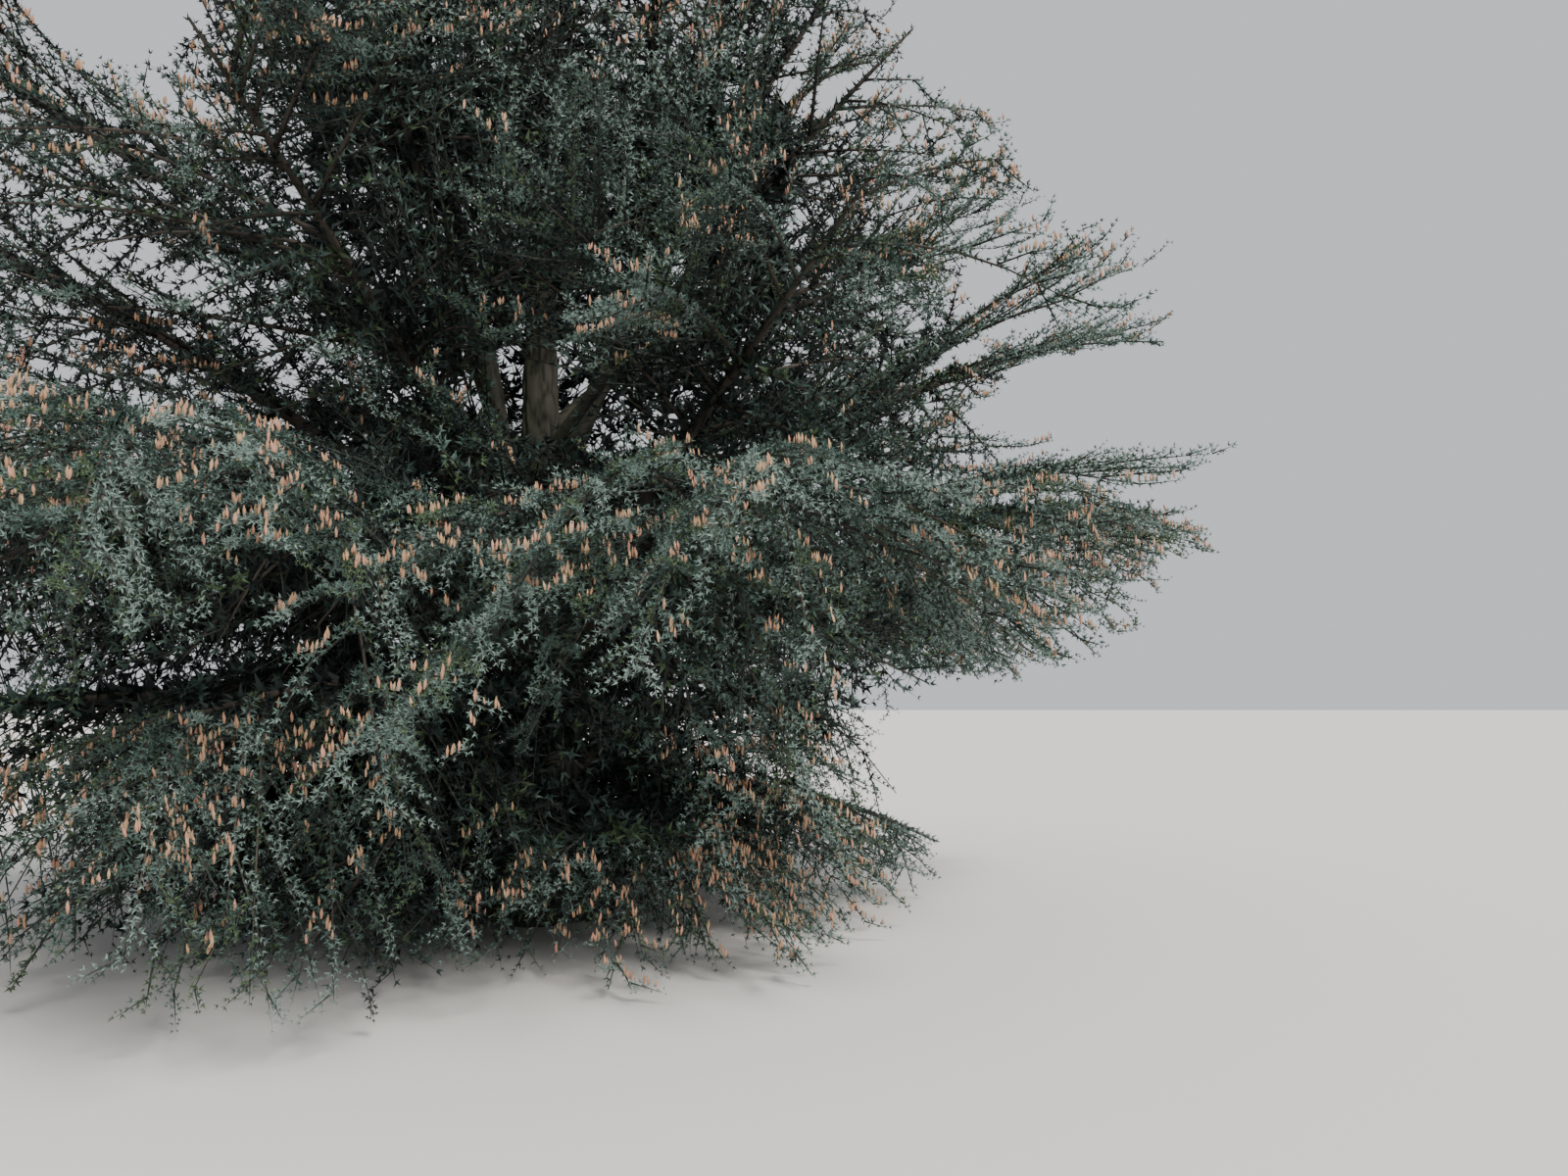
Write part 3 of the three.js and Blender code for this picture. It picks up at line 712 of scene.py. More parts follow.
# %% Side shoots
SHOOT_STEP = 0.12
SHOOT_DEPTHS, SHOOT_SPARSER = (0.0, 0.6, 1.2, 4.0), (1.0, 1.15, 2.6, 5.0)
SHOOT_LEAN, SHOOT_LIFT, SHOOT_PLAY = (28, 50), (-0.10, 0.35), (0.7, 1.25)
SHORT_SHOOT, LONGER_SHOOT, SHOOT_FADE = 0.10, 0.15, 0.5
SHOOT_SLACK, FIRST_PLACE, PLACE_PLAY = 0.03, 0.35, 0.5

chance = np.random.default_rng(20)
shoot_step = SHOOT_STEP * np.interp(spray_depth, SHOOT_DEPTHS, SHOOT_SPARSER)


def numbered(count):
    """For count things on each twig: the twig's number, and each thing's own number on it."""
    twig = np.repeat(np.arange(len(count)), count)
    return twig, np.arange(len(twig)) - np.repeat(np.cumsum(count) - count, count)


shoot_count = np.maximum((length / shoot_step).astype(int), 1)
rows, place = numbered(shoot_count)
t = (place + FIRST_PLACE + PLACE_PLAY * chance.random(len(rows))) / shoot_count[rows]
shoot_foot, onward = on_spray(rows, t)
other = units(np.cross(onward, UP))
hand = np.where((place + rows) % 2 == 0, 1.0, -1.0)
lean = np.radians(chance.uniform(*SHOOT_LEAN, len(rows)))
lift = chance.uniform(*SHOOT_LIFT, len(rows))
shoot_way = onward * np.cos(lean)[:, None] + other * (hand * np.sin(lean))[:, None]
shoot_way = units(shoot_way + UP * lift[:, None])
shoot_length = (SHORT_SHOOT + LONGER_SHOOT * (1 - SHOOT_FADE * t)) * chance.uniform(*SHOOT_PLAY, len(rows))
shoot_tip = shoot_foot + shoot_way * shoot_length[:, None]
shoot_room = has_room(shoot_tip, owner[rows], 2 * OVERLAP, SHOOT_SLACK)
rows, t, shoot_foot, shoot_way, shoot_length, shoot_tip = (
    row[shoot_room] for row in (rows, t, shoot_foot, shoot_way, shoot_length, shoot_tip))
print("side shoots", len(rows), "metres of them", round(float(shoot_length.sum())))

# %% [markdown]
# Twigs are thin tubes. Blender could bevel a curve for each, but tens of thousands of curve objects are
# slow. One function makes any number of closed tubes with the same number of rings at once. Another makes
# three-sided whips that end in a point, for the finest wood.

# %% Tubes from arrays
NEARLY_UPRIGHT = 0.05
THIRDS = (0, 2 * math.pi / 3, 4 * math.pi / 3)


def lattice_faces(number):
    """Four-sided faces between the rings of tubes, from their vertices' numbers as (..., rings, sides)."""
    a, b = number[..., :-1, :], number[..., 1:, :]
    return np.stack([a, np.roll(a, -1, -1), np.roll(b, -1, -1), b], -1).reshape(-1, 4)


def tubes(points, radii, sides):
    """Vertices and faces of many closed tubes. points is (tubes, rings, 3) and radii is (tubes, rings)."""
    ahead = units(np.gradient(points, axis=1))
    first = np.cross(ahead, UP)
    weak = np.linalg.norm(first, axis=2) < NEARLY_UPRIGHT
    first[weak] = np.cross(ahead[weak], RIGHT)
    first = units(first)
    second = np.cross(ahead, first)
    angles = 2 * np.pi * np.arange(sides) / sides
    circle = first[:, :, None] * np.cos(angles)[:, None] + second[:, :, None] * np.sin(angles)[:, None]
    verts = points[:, :, None] + circle * radii[:, :, None, None]
    number = np.arange(verts.size // 3).reshape(verts.shape[:3])
    caps = np.concatenate([number[:, 0, ::-1], number[:, -1]])
    return verts.reshape(-1, 3), [lattice_faces(number), caps]


def whips(rings, radii):
    """Vertices and faces of many three-sided whips. rings has the middles of each ring, from the foot to the
    point, and radii the radii of all rings but the last."""
    ahead = units(rings[-1] - rings[0])
    first = units(np.cross(ahead, UP + 0.01 * RIGHT))
    second = np.cross(ahead, first)
    corners = []
    for centre, radius in zip(rings, radii):
        corners += [centre + (first * math.cos(k) + second * math.sin(k)) * radius[:, None] for k in THIRDS]
    tip = len(corners)
    verts = np.stack(corners + [rings[-1]], 1).reshape(-1, 3)
    base = (tip + 1) * np.arange(len(ahead))[:, None]
    groups = [base + [2, 1, 0]]
    for low in range(0, tip - 3, 3):
        groups += [base + [low + k, low + (k + 1) % 3, low + (k + 1) % 3 + 3, low + k + 3] for k in range(3)]
    return verts, groups + [base + [tip - 3 + k, tip - 3 + (k + 1) % 3, tip] for k in range(3)]


def joined(name, parts, material):
    """One smooth object from several parts, each with its vertices and its arrays of faces."""
    faces, base = [], 0
    for verts, groups, *_ in parts:
        for group in groups:
            faces += (group + base).tolist()
        base += len(verts)
    mesh = bpy.data.meshes.new(name)
    mesh.from_pydata(np.concatenate([part[0] for part in parts]), [], faces)
    mesh.materials.append(material)
    mesh.polygons.foreach_set("use_smooth", np.ones(len(mesh.polygons), bool))
    return in_scene(name, mesh)


def triangles(piece):
    return sum(len(face.vertices) - 2 for face in piece.data.polygons)


def stands_for(piece, nodes):
    """Puts a piece in the frame, in place of some solids."""
    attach(piece, "root")
    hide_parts(*nodes)
    print(piece.name, triangles(piece), "triangles")


trial_verts, trial_faces = tubes(np.array([[RIGHT, UP]]), np.ones((1, 2)), 4)
print("a trial tube has", len(trial_verts), "vertices and", sum(len(group) for group in trial_faces), "faces")

# %% [markdown]
# A material is a tree of nodes. A few small functions add the nodes that several materials share: a ramp of
# colours, a noise that reads object coordinates, an attribute of the mesh, and a mix of two colours.

# %% Nodes of materials
def feed(tree, socket, value):
    """Links a socket to another node's output, or sets it to a plain value."""
    if isinstance(value, bpy.types.NodeSocket):
        tree.links.new(value, socket)
    else:
        socket.default_value = value


def node(tree, kind, settings=(), **links):
    """Adds a node, feeds the inputs that are named, and gives the node's first output that is in use."""
    added = tree.nodes.new(kind)
    for key, value in dict(settings).items():
        setattr(added, key, value)
    for label, value in links.items():
        socket = next(s for s in added.inputs if s.enabled and s.name.replace(" ", "_") == label)
        feed(tree, socket, value)
    return next((s for s in added.outputs if s.enabled), None)


def shader(name, roughness, shine, colour=(0.8, 0.8, 0.8)):
    """A new material, its tree of nodes and its surface node."""
    material = bpy.data.materials.new(name)
    material.use_nodes = True
    surface = material.node_tree.nodes["Principled BSDF"]
    surface.inputs["Base Color"].default_value = (*colour, 1.0)
    surface.inputs["Roughness"].default_value = roughness
    surface.inputs["Specular IOR Level"].default_value = shine
    return material, material.node_tree, surface


def ramp(tree, value, *stops):
    added = tree.nodes.new("ShaderNodeValToRGB")
    elements = added.color_ramp.elements
    for i, (place, colour) in enumerate(stops):
        element = elements[i] if i < 2 else elements.new(place)
        element.position, element.color = place, (*colour, 1.0)
    feed(tree, added.inputs["Fac"], value)
    return added.outputs["Color"]


def noise(tree, scale, detail, stretch=(1.0, 1.0, 1.0)):
    coordinates = tree.nodes.new("ShaderNodeTexCoord").outputs["Object"]
    mapped = node(tree, "ShaderNodeMapping", Vector=coordinates, Scale=stretch)
    return node(tree, "ShaderNodeTexNoise", Vector=mapped, Scale=scale, Detail=detail)


def attribute(tree, name):
    added = tree.nodes.new("ShaderNodeAttribute")
    added.attribute_name = name
    return added.outputs["Fac"]


def mixed(tree, factor, first, second):
    """The first colour, with as much of the second in it as the factor says."""
    return node(tree, "ShaderNodeMix", {"data_type": "RGBA"}, Factor=factor, A=first, B=second)


print("functions for materials ready")

# %% [markdown]
# Bark on an old cedar is grey-brown and breaks into small upright plates with cracks between them. The colour
# follows the number that moves the surface in and out, kept on the mesh as an attribute named relief, and
# paints shade into the cracks: the deeper a crack, the darker it is painted. Two more attributes help: algae
# greens the damp side, and youth turns bark into smooth brown wood toward a limb's end.

# %% Bark material
# The crack colours are painted shade, darkest at the bottom of a crack; the plate colour is the bark's own.
PAINTED_CRACK_SHADE, PAINTED_CRACK_EDGE_SHADE, PLATE = (0.008, 0.008, 0.006), (0.034, 0.032, 0.026), (0.080, 0.080, 0.065)
MOTTLE_DARK, MOTTLE_LIGHT, MOTTLE_SHARE = (0.030, 0.029, 0.023), (0.086, 0.086, 0.069), 0.22
ALGAE_DARK, ALGAE_LIGHT = (0.026, 0.032, 0.018), (0.070, 0.082, 0.044)
YOUNG_DARK, YOUNG_LIGHT = (0.032, 0.027, 0.023), (0.090, 0.078, 0.066)
GRAIN_STRENGTH, GRAIN_DEPTH, GRAIN_STRETCH = 0.5, 0.004, (1.0, 1.0, 0.35)


def young_wood(tree):
    """Smooth brown wood, in tones that change slowly from limb to limb."""
    return ramp(tree, noise(tree, 2.5, 3.0), (0.3, YOUNG_DARK), (0.7, YOUNG_LIGHT))


bark, tree, surface = shader("bark", 0.92, 0.25)
# Painted shade: the colour darkens from the plates toward near black down in the cracks.
plates = ramp(tree, attribute(tree, "relief"), (0.0, PAINTED_CRACK_SHADE), (0.5, PAINTED_CRACK_EDGE_SHADE), (1.0, PLATE))
mottle = ramp(tree, noise(tree, 9.0, 6.0), (0.35, MOTTLE_DARK), (0.65, MOTTLE_LIGHT))
grey = mixed(tree, MOTTLE_SHARE, plates, mottle)
green = ramp(tree, noise(tree, 30.0, 4.0), (0.3, ALGAE_DARK), (0.7, ALGAE_LIGHT))
aged = mixed(tree, attribute(tree, "youth"), grey, young_wood(tree))
feed(tree, surface.inputs["Base Color"], mixed(tree, attribute(tree, "algae"), aged, green))
grain = noise(tree, 70.0, 5.0, GRAIN_STRETCH)
bump = node(tree, "ShaderNodeBump", Strength=GRAIN_STRENGTH, Distance=GRAIN_DEPTH, Height=grain)
feed(tree, surface.inputs["Normal"], bump)
print("nodes in the bark material", len(tree.nodes))

# %% [markdown]
# The relief itself is real geometry. A lattice of random numbers, blended smoothly between its points, is
# read at every vertex, stretched along the trunk. Folded about its middle value, it gives ridges with sharp
# cracks between them. Because it is read in space and not round the trunk, it has no seam.

# %% Relief of bark
CELLS = 32
LATTICE = np.random.default_rng(4).random((CELLS, CELLS, CELLS))
CORNERS = [(dx, dy, dz) for dx in (0, 1) for dy in (0, 1) for dz in (0, 1)]
UPRIGHT_PLATES = (1.0, 1.0, 0.30)
WANDER, WANDER_SCALE, FINE_SCALE = 1.6, 0.5, 2.3
RIDGE_SHARE, FINE_SHARE, SHARPNESS, CONTRAST = 0.7, 0.3, 0.6, 1.7


def lattice_noise(points):
    cell = np.floor(points).astype(int)
    f = points - cell
    f = f * f * (3 - 2 * f)
    total = 0
    for corner in CORNERS:
        weight = np.prod(np.abs(1 - np.array(corner) - f), axis=1)
        x, y, z = ((cell + corner) % CELLS).T
        total = total + weight * LATTICE[x, y, z]
    return total


def crack_pattern(points, size):
    """From 0 in a crack to 1 on a plate, for plates about size metres across and three times as tall."""
    stretched = points / size * UPRIGHT_PLATES
    wander = lattice_noise(stretched * WANDER_SCALE + 7.0)[:, None] - 0.5
    ridge = np.abs(2 * lattice_noise(stretched + wander * WANDER) - 1)
    fine = np.abs(2 * lattice_noise(stretched * FINE_SCALE + 11.0) - 1)
    return np.clip(CONTRAST * (RIDGE_SHARE * ridge + FINE_SHARE * fine) ** SHARPNESS, 0, 1)


print("the lattice has", LATTICE.size, "numbers")

# %% [markdown]
# Each limb of bare wood becomes one closed tube with many rings, whose surface sinks in the cracks. A table
# gives each kind of limb its rings, its sides, the depth of its cracks and the size of its plates, both in
# metres. All the stems make one piece and all the boughs another.

# %% Barked wood
YOUNG_FROM, TOP_OF_PLATE = 0.45, 0.9
DAMP_SIDE = (-0.75, -0.45, 0.10)
ALGAE_SCALE, ALGAE_GAIN, ALGAE_FROM, ALGAE_MOST = 3.1, 1.6, 0.10, 0.8
BARK = {
    "trunk": (280, 96, 0.032, 0.055),
    "leader_left": (120, 40, 0.014, 0.034),
    "leader_right": (110, 36, 0.012, 0.032),
    "bough": (34, 18, 0.005, 0.022),
}


def barked(curve, radius, last, rings, sides, depth, plate, level=False):
    """Vertices, faces, relief, algae and youth of a closed barked limb, up to a share of its curve."""
    shares = np.linspace(0.0, last, rings)
    points = np.array([curve(s) for s in shares])
    angles = 2 * np.pi * np.arange(sides) / sides
    ahead = np.tile(UP, (rings, 1)) if level else units(np.gradient(points, axis=0))
    side_way = units(RIGHT - ahead * (ahead @ RIGHT)[:, None])
    other = np.cross(side_way, ahead)
    circle = side_way[:, None] * np.sin(angles)[:, None] + other[:, None] * np.cos(angles)[:, None]
    sizes = np.array([np.broadcast_to(radius(s, angles), sides) for s in shares])
    flat = (points[:, None] + circle * sizes[..., None]).reshape(-1, 3)
    relief = crack_pattern(flat, plate)
    sunk = depth * (relief - TOP_OF_PLATE).reshape(rings, sides)
    verts = points[:, None] + circle * (sizes + sunk)[..., None]
    verts[..., 2] = np.maximum(verts[..., 2], 0.0)
    damp = np.clip(circle @ np.array(DAMP_SIDE), 0, 1).reshape(-1)
    algae = np.clip(ALGAE_GAIN * damp * (lattice_noise(flat * ALGAE_SCALE) - ALGAE_FROM), 0, ALGAE_MOST)
    youth = np.repeat(np.clip((np.linspace(0, 1, rings) - YOUNG_FROM) / (1 - YOUNG_FROM), 0, 1), sides)
    number = np.arange(rings * sides).reshape(rings, sides)
    caps = np.stack([number[0, ::-1], number[-1]])
    return verts.reshape(-1, 3), [lattice_faces(number), caps], relief, algae, youth


def barked_piece(name, parts, nodes):
    piece = joined(name, parts, bark)
    for label, values in zip(("relief", "algae", "youth"), list(zip(*parts))[2:]):
        values = np.concatenate(values).astype(np.float32)
        piece.data.attributes.new(label, "FLOAT", "POINT").data.foreach_set("value", values)
    stands_for(piece, nodes)


barked_stems = [
    barked(s["curve"], lambda share, angles: stem_radius(s, share, angles), 1.0, *BARK[name], name == "trunk")
    for name, s in STEMS.items()]
barked_boughs = [
    barked(limb["curve"], lambda share, angles: limb["radius"](share), BOUGH_SHARE, *BARK["bough"])
    for limb in boughs]
barked_piece("barked_stems", barked_stems, STEMS)
barked_piece("barked_boughs", barked_boughs, [limb["bough"] for limb in boughs])

# %% [markdown]
# The stems inside the foliage and the side branches have one material, whose colour varies slowly along the
# tree, so no two limbs look dipped in the same paint. The twigs of the sprays and the side shoots have a
# darker one, because needles clothe them.

# %% Twigs
CLOTHED_DARK, CLOTHED_LIGHT = (0.020, 0.024, 0.020), (0.070, 0.078, 0.066)
STEM_RINGS, STEM_SIDES = 16, 8
BRANCH_RINGS, BRANCH_SIDES = 6, 4
BRANCH_RADIUS, BRANCH_TAPER = 0.006, 0.75
SPRAY_RADIUS, SPRAY_GROWTH, SPRAY_MIDDLE, SPRAY_TAPER = 0.0050, 0.004, 0.55, 0.85
SHOOT_RADIUS = 0.0055
FOLIAGE = [mass["name"] for mass in masses]

twig_bark, tree, surface = shader("twig_bark", 0.9, 0.2)
feed(tree, surface.inputs["Base Color"], young_wood(tree))
clothed_bark, tree, surface = shader("clothed_twig", 0.9, 0.2)
clothed = ramp(tree, noise(tree, 60.0, 3.0), (0.35, CLOTHED_DARK), (0.65, CLOTHED_LIGHT))
feed(tree, surface.inputs["Base Color"], clothed)

stem_points, stem_radii = [], []
for mass in masses:
    ends = lerp(mass["first"], 1.0, mass["end"])
    stem_points.append([mass["curve"](share) for share in np.linspace(mass["first"], ends, STEM_RINGS)])
    stem_radii.append([mass["radius"](share) for share in np.linspace(mass["first"], 1.0, STEM_RINGS)])
stem_points = np.array(stem_points)
branch_points, branch_radii = [], []
for branch in branches:
    parts = np.linspace(0, branch["fit"], BRANCH_RINGS)
    branch_points.append([on_branch(branch, part)[0] for part in parts])
    root = BRANCH_RADIUS + BRANCH_RADIUS * branch["length"]
    branch_radii.append(root * (1 - BRANCH_TAPER * parts / branch["fit"]))
limb_tubes = tubes(stem_points, np.array(stem_radii), STEM_SIDES)
branch_tubes = tubes(np.array(branch_points), np.array(branch_radii), BRANCH_SIDES)
spray_radius = SPRAY_RADIUS + SPRAY_GROWTH * length
spray_rings = [all_sprays_at(share) for share in (0.0, SPRAY_MIDDLE, 1.0)]
spray_whips = whips(spray_rings, [spray_radius, SPRAY_TAPER * spray_radius])
shoot_whips = whips([shoot_foot, shoot_tip], [np.full(len(shoot_foot), SHOOT_RADIUS)])
stands_for(joined("branches", [limb_tubes, branch_tubes], twig_bark), FOLIAGE)
stands_for(joined("spray_twigs", [spray_whips], clothed_bark), FOLIAGE)
stands_for(joined("side_shoots", [shoot_whips], clothed_bark), FOLIAGE)

# %% [markdown]
# How far apart rosettes of needles stand, and how large they are, depends on where they are. Near the
# camera they are small and close together, nearly as in life. Deep inside the crown they are larger and
# fewer, because only their shade is seen there, except in airy places, where they stand against the sky.

# %% Spacing of rosettes
ROSETTE_STEP, CLOSE_STEP = 0.025, 0.0145
CLOSE, CLOSE_DEPTH = 6.6, 1.3
DEPTHS = (0.0, 0.5, 1.0, 2.0, 4.0)
SPARSER, SPARSER_NEAR = (1.05, 1.4, 3.4, 8.5, 11.0), 0.42
LARGER, LARGER_NEAR = (0.90, 0.98, 1.45, 2.6, 3.0), 0.72
NEAR_TO_FAR = (7.2, 9.2)
AIRY_SPARSER, AIRY_LARGER = 2.0, 1.15


def distance(points):
    return np.linalg.norm(points - eye, axis=1)


def seen_close(points):
    return (distance(points) < CLOSE) & (depth_in_crown(points) < CLOSE_DEPTH)


def sparseness(points):
    """How much wider apart rosettes stand than they would on a lone twig."""
    deeper = np.interp(depth_in_crown(points), DEPTHS, SPARSER) - 1
    sparser = 1 + deeper * np.interp(distance(points), NEAR_TO_FAR, (SPARSER_NEAR, 1.0))
    return np.where(airy(points), np.minimum(sparser, AIRY_SPARSER), sparser)


def largeness(points):
    """How much larger rosettes are than at the crown's edge."""
    deeper = np.interp(depth_in_crown(points), DEPTHS, LARGER)
    larger = deeper * np.interp(distance(points), NEAR_TO_FAR, (LARGER_NEAR, 1.0))
    return np.where(airy(points), np.minimum(larger, AIRY_LARGER), larger)


print("sprays seen close", int(seen_close(all_sprays_at(0.5)).sum()))

# %% [markdown]
# A rosette sits on a short spur, spurs turning round the twig as they go and keeping to its upper side.
# Every place gets a direction, a size and the tint of its spray. Sprays, side shoots, side branches and the
# outer three quarters of the stems inside the foliage all carry rosettes, so one function does them all,
# given another one that says where a share of a twig is.

# %% Places for rosettes
BARE_PART, STEM_CROWDING, STEM_TINT = 0.25, 2.0, 0.5
STEM_SIZE, BRANCH_SIZE, SPRAY_SIZE, SHOOT_SIZE = 1.55, 1.25, 1.0, 0.9
CLOSE_SPUR, SPUR = 0.014, 0.010
TWIG_MIDDLE, SPUR_PLAY, UPPER_SIDE = 0.6, 70, 0.45
LAY_DOWN, FORWARD, TIP_FORWARD, HEADING_PLAY = 0.7, 0.45, 0.8, 0.25
FOOT_SIZE, TIP_SMALLER, SIZE_PLAY = 1.08, 0.35, (0.8, 1.2)
OUTER_DEPTH, OUTER_SIZE = 0.5, 0.95
LOWEST, LOWER_HALF = 0.01, 0.045

b_start, b_direction, b_length, b_drop, b_fit = (
    np.array([branch[key] for branch in branches]) for key in ("start", "direction", "length", "drop", "fit"))
b_tint = np.array([branch["draw"]() for branch in branches])


def on_side_branches(i, share):
    part, drop = (b_fit[i] * share)[:, None], b_drop[i, None]
    ahead = units(b_direction[i] - UP * 2 * drop * part)
    return b_start[i] + b_length[i, None] * (b_direction[i] * part - UP * drop * part ** 2), ahead


def on_stems(i, share):
    place = (STEM_RINGS - 1) * lerp(BARE_PART, 1.0, share)
    low = np.minimum(place.astype(int), STEM_RINGS - 2)
    step = stem_points[i, low + 1] - stem_points[i, low]
    return stem_points[i, low] + step * (place - low)[:, None], units(step)


def on_shoots(i, share):
    return shoot_foot[i] + shoot_way[i] * (shoot_length[i] * share)[:, None], shoot_way[i]


def places_along(points_of, lengths, tints, swelling):
    """Rosette places on many twigs: point, heading, size and tint of each, and whether it is seen close."""
    middles = points_of(np.arange(len(lengths)), np.full(len(lengths), TWIG_MIDDLE))[0]
    near = seen_close(middles)
    step = np.where(near, CLOSE_STEP, ROSETTE_STEP * sparseness(middles))
    count = np.maximum((lengths / step).astype(int), 1)
    twig, order = numbered(count)
    share = np.minimum((order + 0.5 + 0.5 * chance.random(len(twig))) / count[twig], 1.0)
    point, ahead = points_of(twig, share)
    first = units(np.cross(ahead, UP))
    second = np.cross(first, ahead)
    angle = np.radians(order * GOLDEN_TURN + SPUR_PLAY * chance.random(len(twig)))
    spur = first * np.cos(angle)[:, None] + second * (UPPER_SIDE + np.sin(angle))[:, None]
    heading = spur * (1 - LAY_DOWN * share)[:, None] + ahead * (FORWARD + TIP_FORWARD * share)[:, None]
    heading = units(heading + HEADING_PLAY * chance.normal(size=(len(twig), 3)))
    size = swelling * (FOOT_SIZE - TIP_SMALLER * share ** 3) * chance.uniform(*SIZE_PLAY, len(twig))
    close = near[twig]
    return point + np.where(close, CLOSE_SPUR, SPUR)[:, None] * spur, heading, size, tints[twig], close


stem_length = np.linalg.norm(np.diff(stem_points, axis=1), axis=2).sum(1) * (1 - BARE_PART) * STEM_CROWDING
kinds = [
    (on_stems, stem_length, np.full(len(stem_length), STEM_TINT), STEM_SIZE),
    (on_side_branches, b_length * b_fit, b_tint, BRANCH_SIZE),
    (on_spray, length, tint, SPRAY_SIZE),
    (on_shoots, shoot_length, tint[rows], SHOOT_SIZE),
]
columns = zip(*(places_along(*kind) for kind in kinds))
spot, heading, size, shade, close = (np.concatenate(column) for column in columns)
depth = depth_in_crown(spot)
size *= np.where(close, 1.0, np.where(depth < OUTER_DEPTH, OUTER_SIZE, largeness(spot)))
spot[:, 2] = np.maximum(spot[:, 2], LOWEST + LOWER_HALF * size)
print("rosettes", len(spot), "of which close", int(close.sum()), "mean size", round(float(size.mean()), 2))

# %% [markdown]
# Geometry Nodes set one small shape on many places. A class builds such a tree of nodes in code, with a
# named input for every size. Its last part is the same for needles and cones: it turns and sizes the shape
# by the attributes of each place, and ends in Realize Instances and Set Material, so the result is an
# ordinary mesh.

# %% Trees of geometry nodes
class Growth:
    """A Geometry Nodes tree with a named number input for each size."""

    def __init__(self, name, sizes):
        self.tree = bpy.data.node_groups.new(name, "GeometryNodeTree")
        new_socket = self.tree.interface.new_socket
        new_socket("Geometry", in_out="INPUT", socket_type="NodeSocketGeometry")
        new_socket("Geometry", in_out="OUTPUT", socket_type="NodeSocketGeometry")
        self.sockets = {}
        for label, value in sizes.items():
            kind = "NodeSocketInt" if isinstance(value, int) else "NodeSocketFloat"
            self.sockets[label] = new_socket(label, in_out="INPUT", socket_type=kind)
        self.sizes = sizes
        self.inputs = self.tree.nodes.new("NodeGroupInput").outputs

    def add(self, kind, settings=(), **links):
        return node(self.tree, kind, settings, **links)

    def maths(self, operation, first, second=0.0):
        added = self.tree.nodes.new("ShaderNodeMath")
        added.operation = operation
        feed(self.tree, added.inputs[0], first)
        feed(self.tree, added.inputs[1], second)
        return added.outputs[0]

    def end_with(self, shape, material, spin=None):
        """Sets the shape on every place by its heading and size, and paints the realized result."""
        read = "GeometryNodeInputNamedAttribute"
        heading = self.add(read, {"data_type": "FLOAT_VECTOR"}, Name="heading")
        size = self.add(read, Name="size")
        turn = self.add("FunctionNodeAlignRotationToVector", {"axis": "Z"}, Vector=heading)
        if spin is not None:
            around = self.add("ShaderNodeCombineXYZ", Z=spin)
            local = {"rotation_space": "LOCAL"}
            turn = self.add("FunctionNodeRotateRotation", local, Rotation=turn, Rotate_By=around)
        placed = self.add("GeometryNodeInstanceOnPoints", Points=self.inputs["Geometry"], Instance=shape,
                          Rotation=turn, Scale=size)
        real = self.add("GeometryNodeRealizeInstances", Geometry=placed)
        painted = self.add("GeometryNodeSetMaterial", Geometry=real, Material=material)
        self.add("NodeGroupOutput", Geometry=painted)
        return self


def grown(name, growth, points, headings, sizes, slot):
    """Runs a tree on points, and puts the result in the frame as a plain mesh in place of the masses."""
    mesh = bpy.data.meshes.new(name + "_places")
    mesh.from_pydata(points, [], [])
    rows = (("heading", "FLOAT_VECTOR", "vector", headings), ("size", "FLOAT", "value", sizes))
    for label, kind, key, data in rows:
        mesh.attributes.new(label, kind, "POINT").data.foreach_set(key, data.astype(np.float32).ravel())
    carrier = in_scene(name + "_places", mesh)
    modifier = carrier.modifiers.new(name, "NODES")
    modifier.node_group = growth.tree
    for label, value in growth.sizes.items():
        modifier[growth.sockets[label].identifier] = value
    evaluated = carrier.evaluated_get(bpy.context.evaluated_depsgraph_get())
    result = bpy.data.meshes.new_from_object(evaluated)
    bpy.data.objects.remove(carrier)
    result.name = name
    result.polygons.foreach_set("use_smooth", np.full(len(result.polygons), slot == "cones"))
    for label in ("heading", "size"):
        if label in result.attributes:
            result.attributes.remove(result.attributes[label])
    stands_for(in_scene(name, result), FOLIAGE)


print("functions for growth ready")

# %% [markdown]
# A rosette is a few needles that stand out of one spur. A needle is a triangle: a circle of three corners,
# moved so that it is rooted at the spur and scaled to its length and width. Needles stand on a ring, every
# other one leaning further forward, and each rosette is spun at random about its heading.

# %% Rosette nodes
TRIANGLE_LENGTH, TRIANGLE_WIDTH = 1.5, 1.732
NEEDLE_TILT, NEEDLE_LEAN, NEEDLE_ROLL = 0.50, 0.50, 0.6
HUB_RADIUS = 0.001


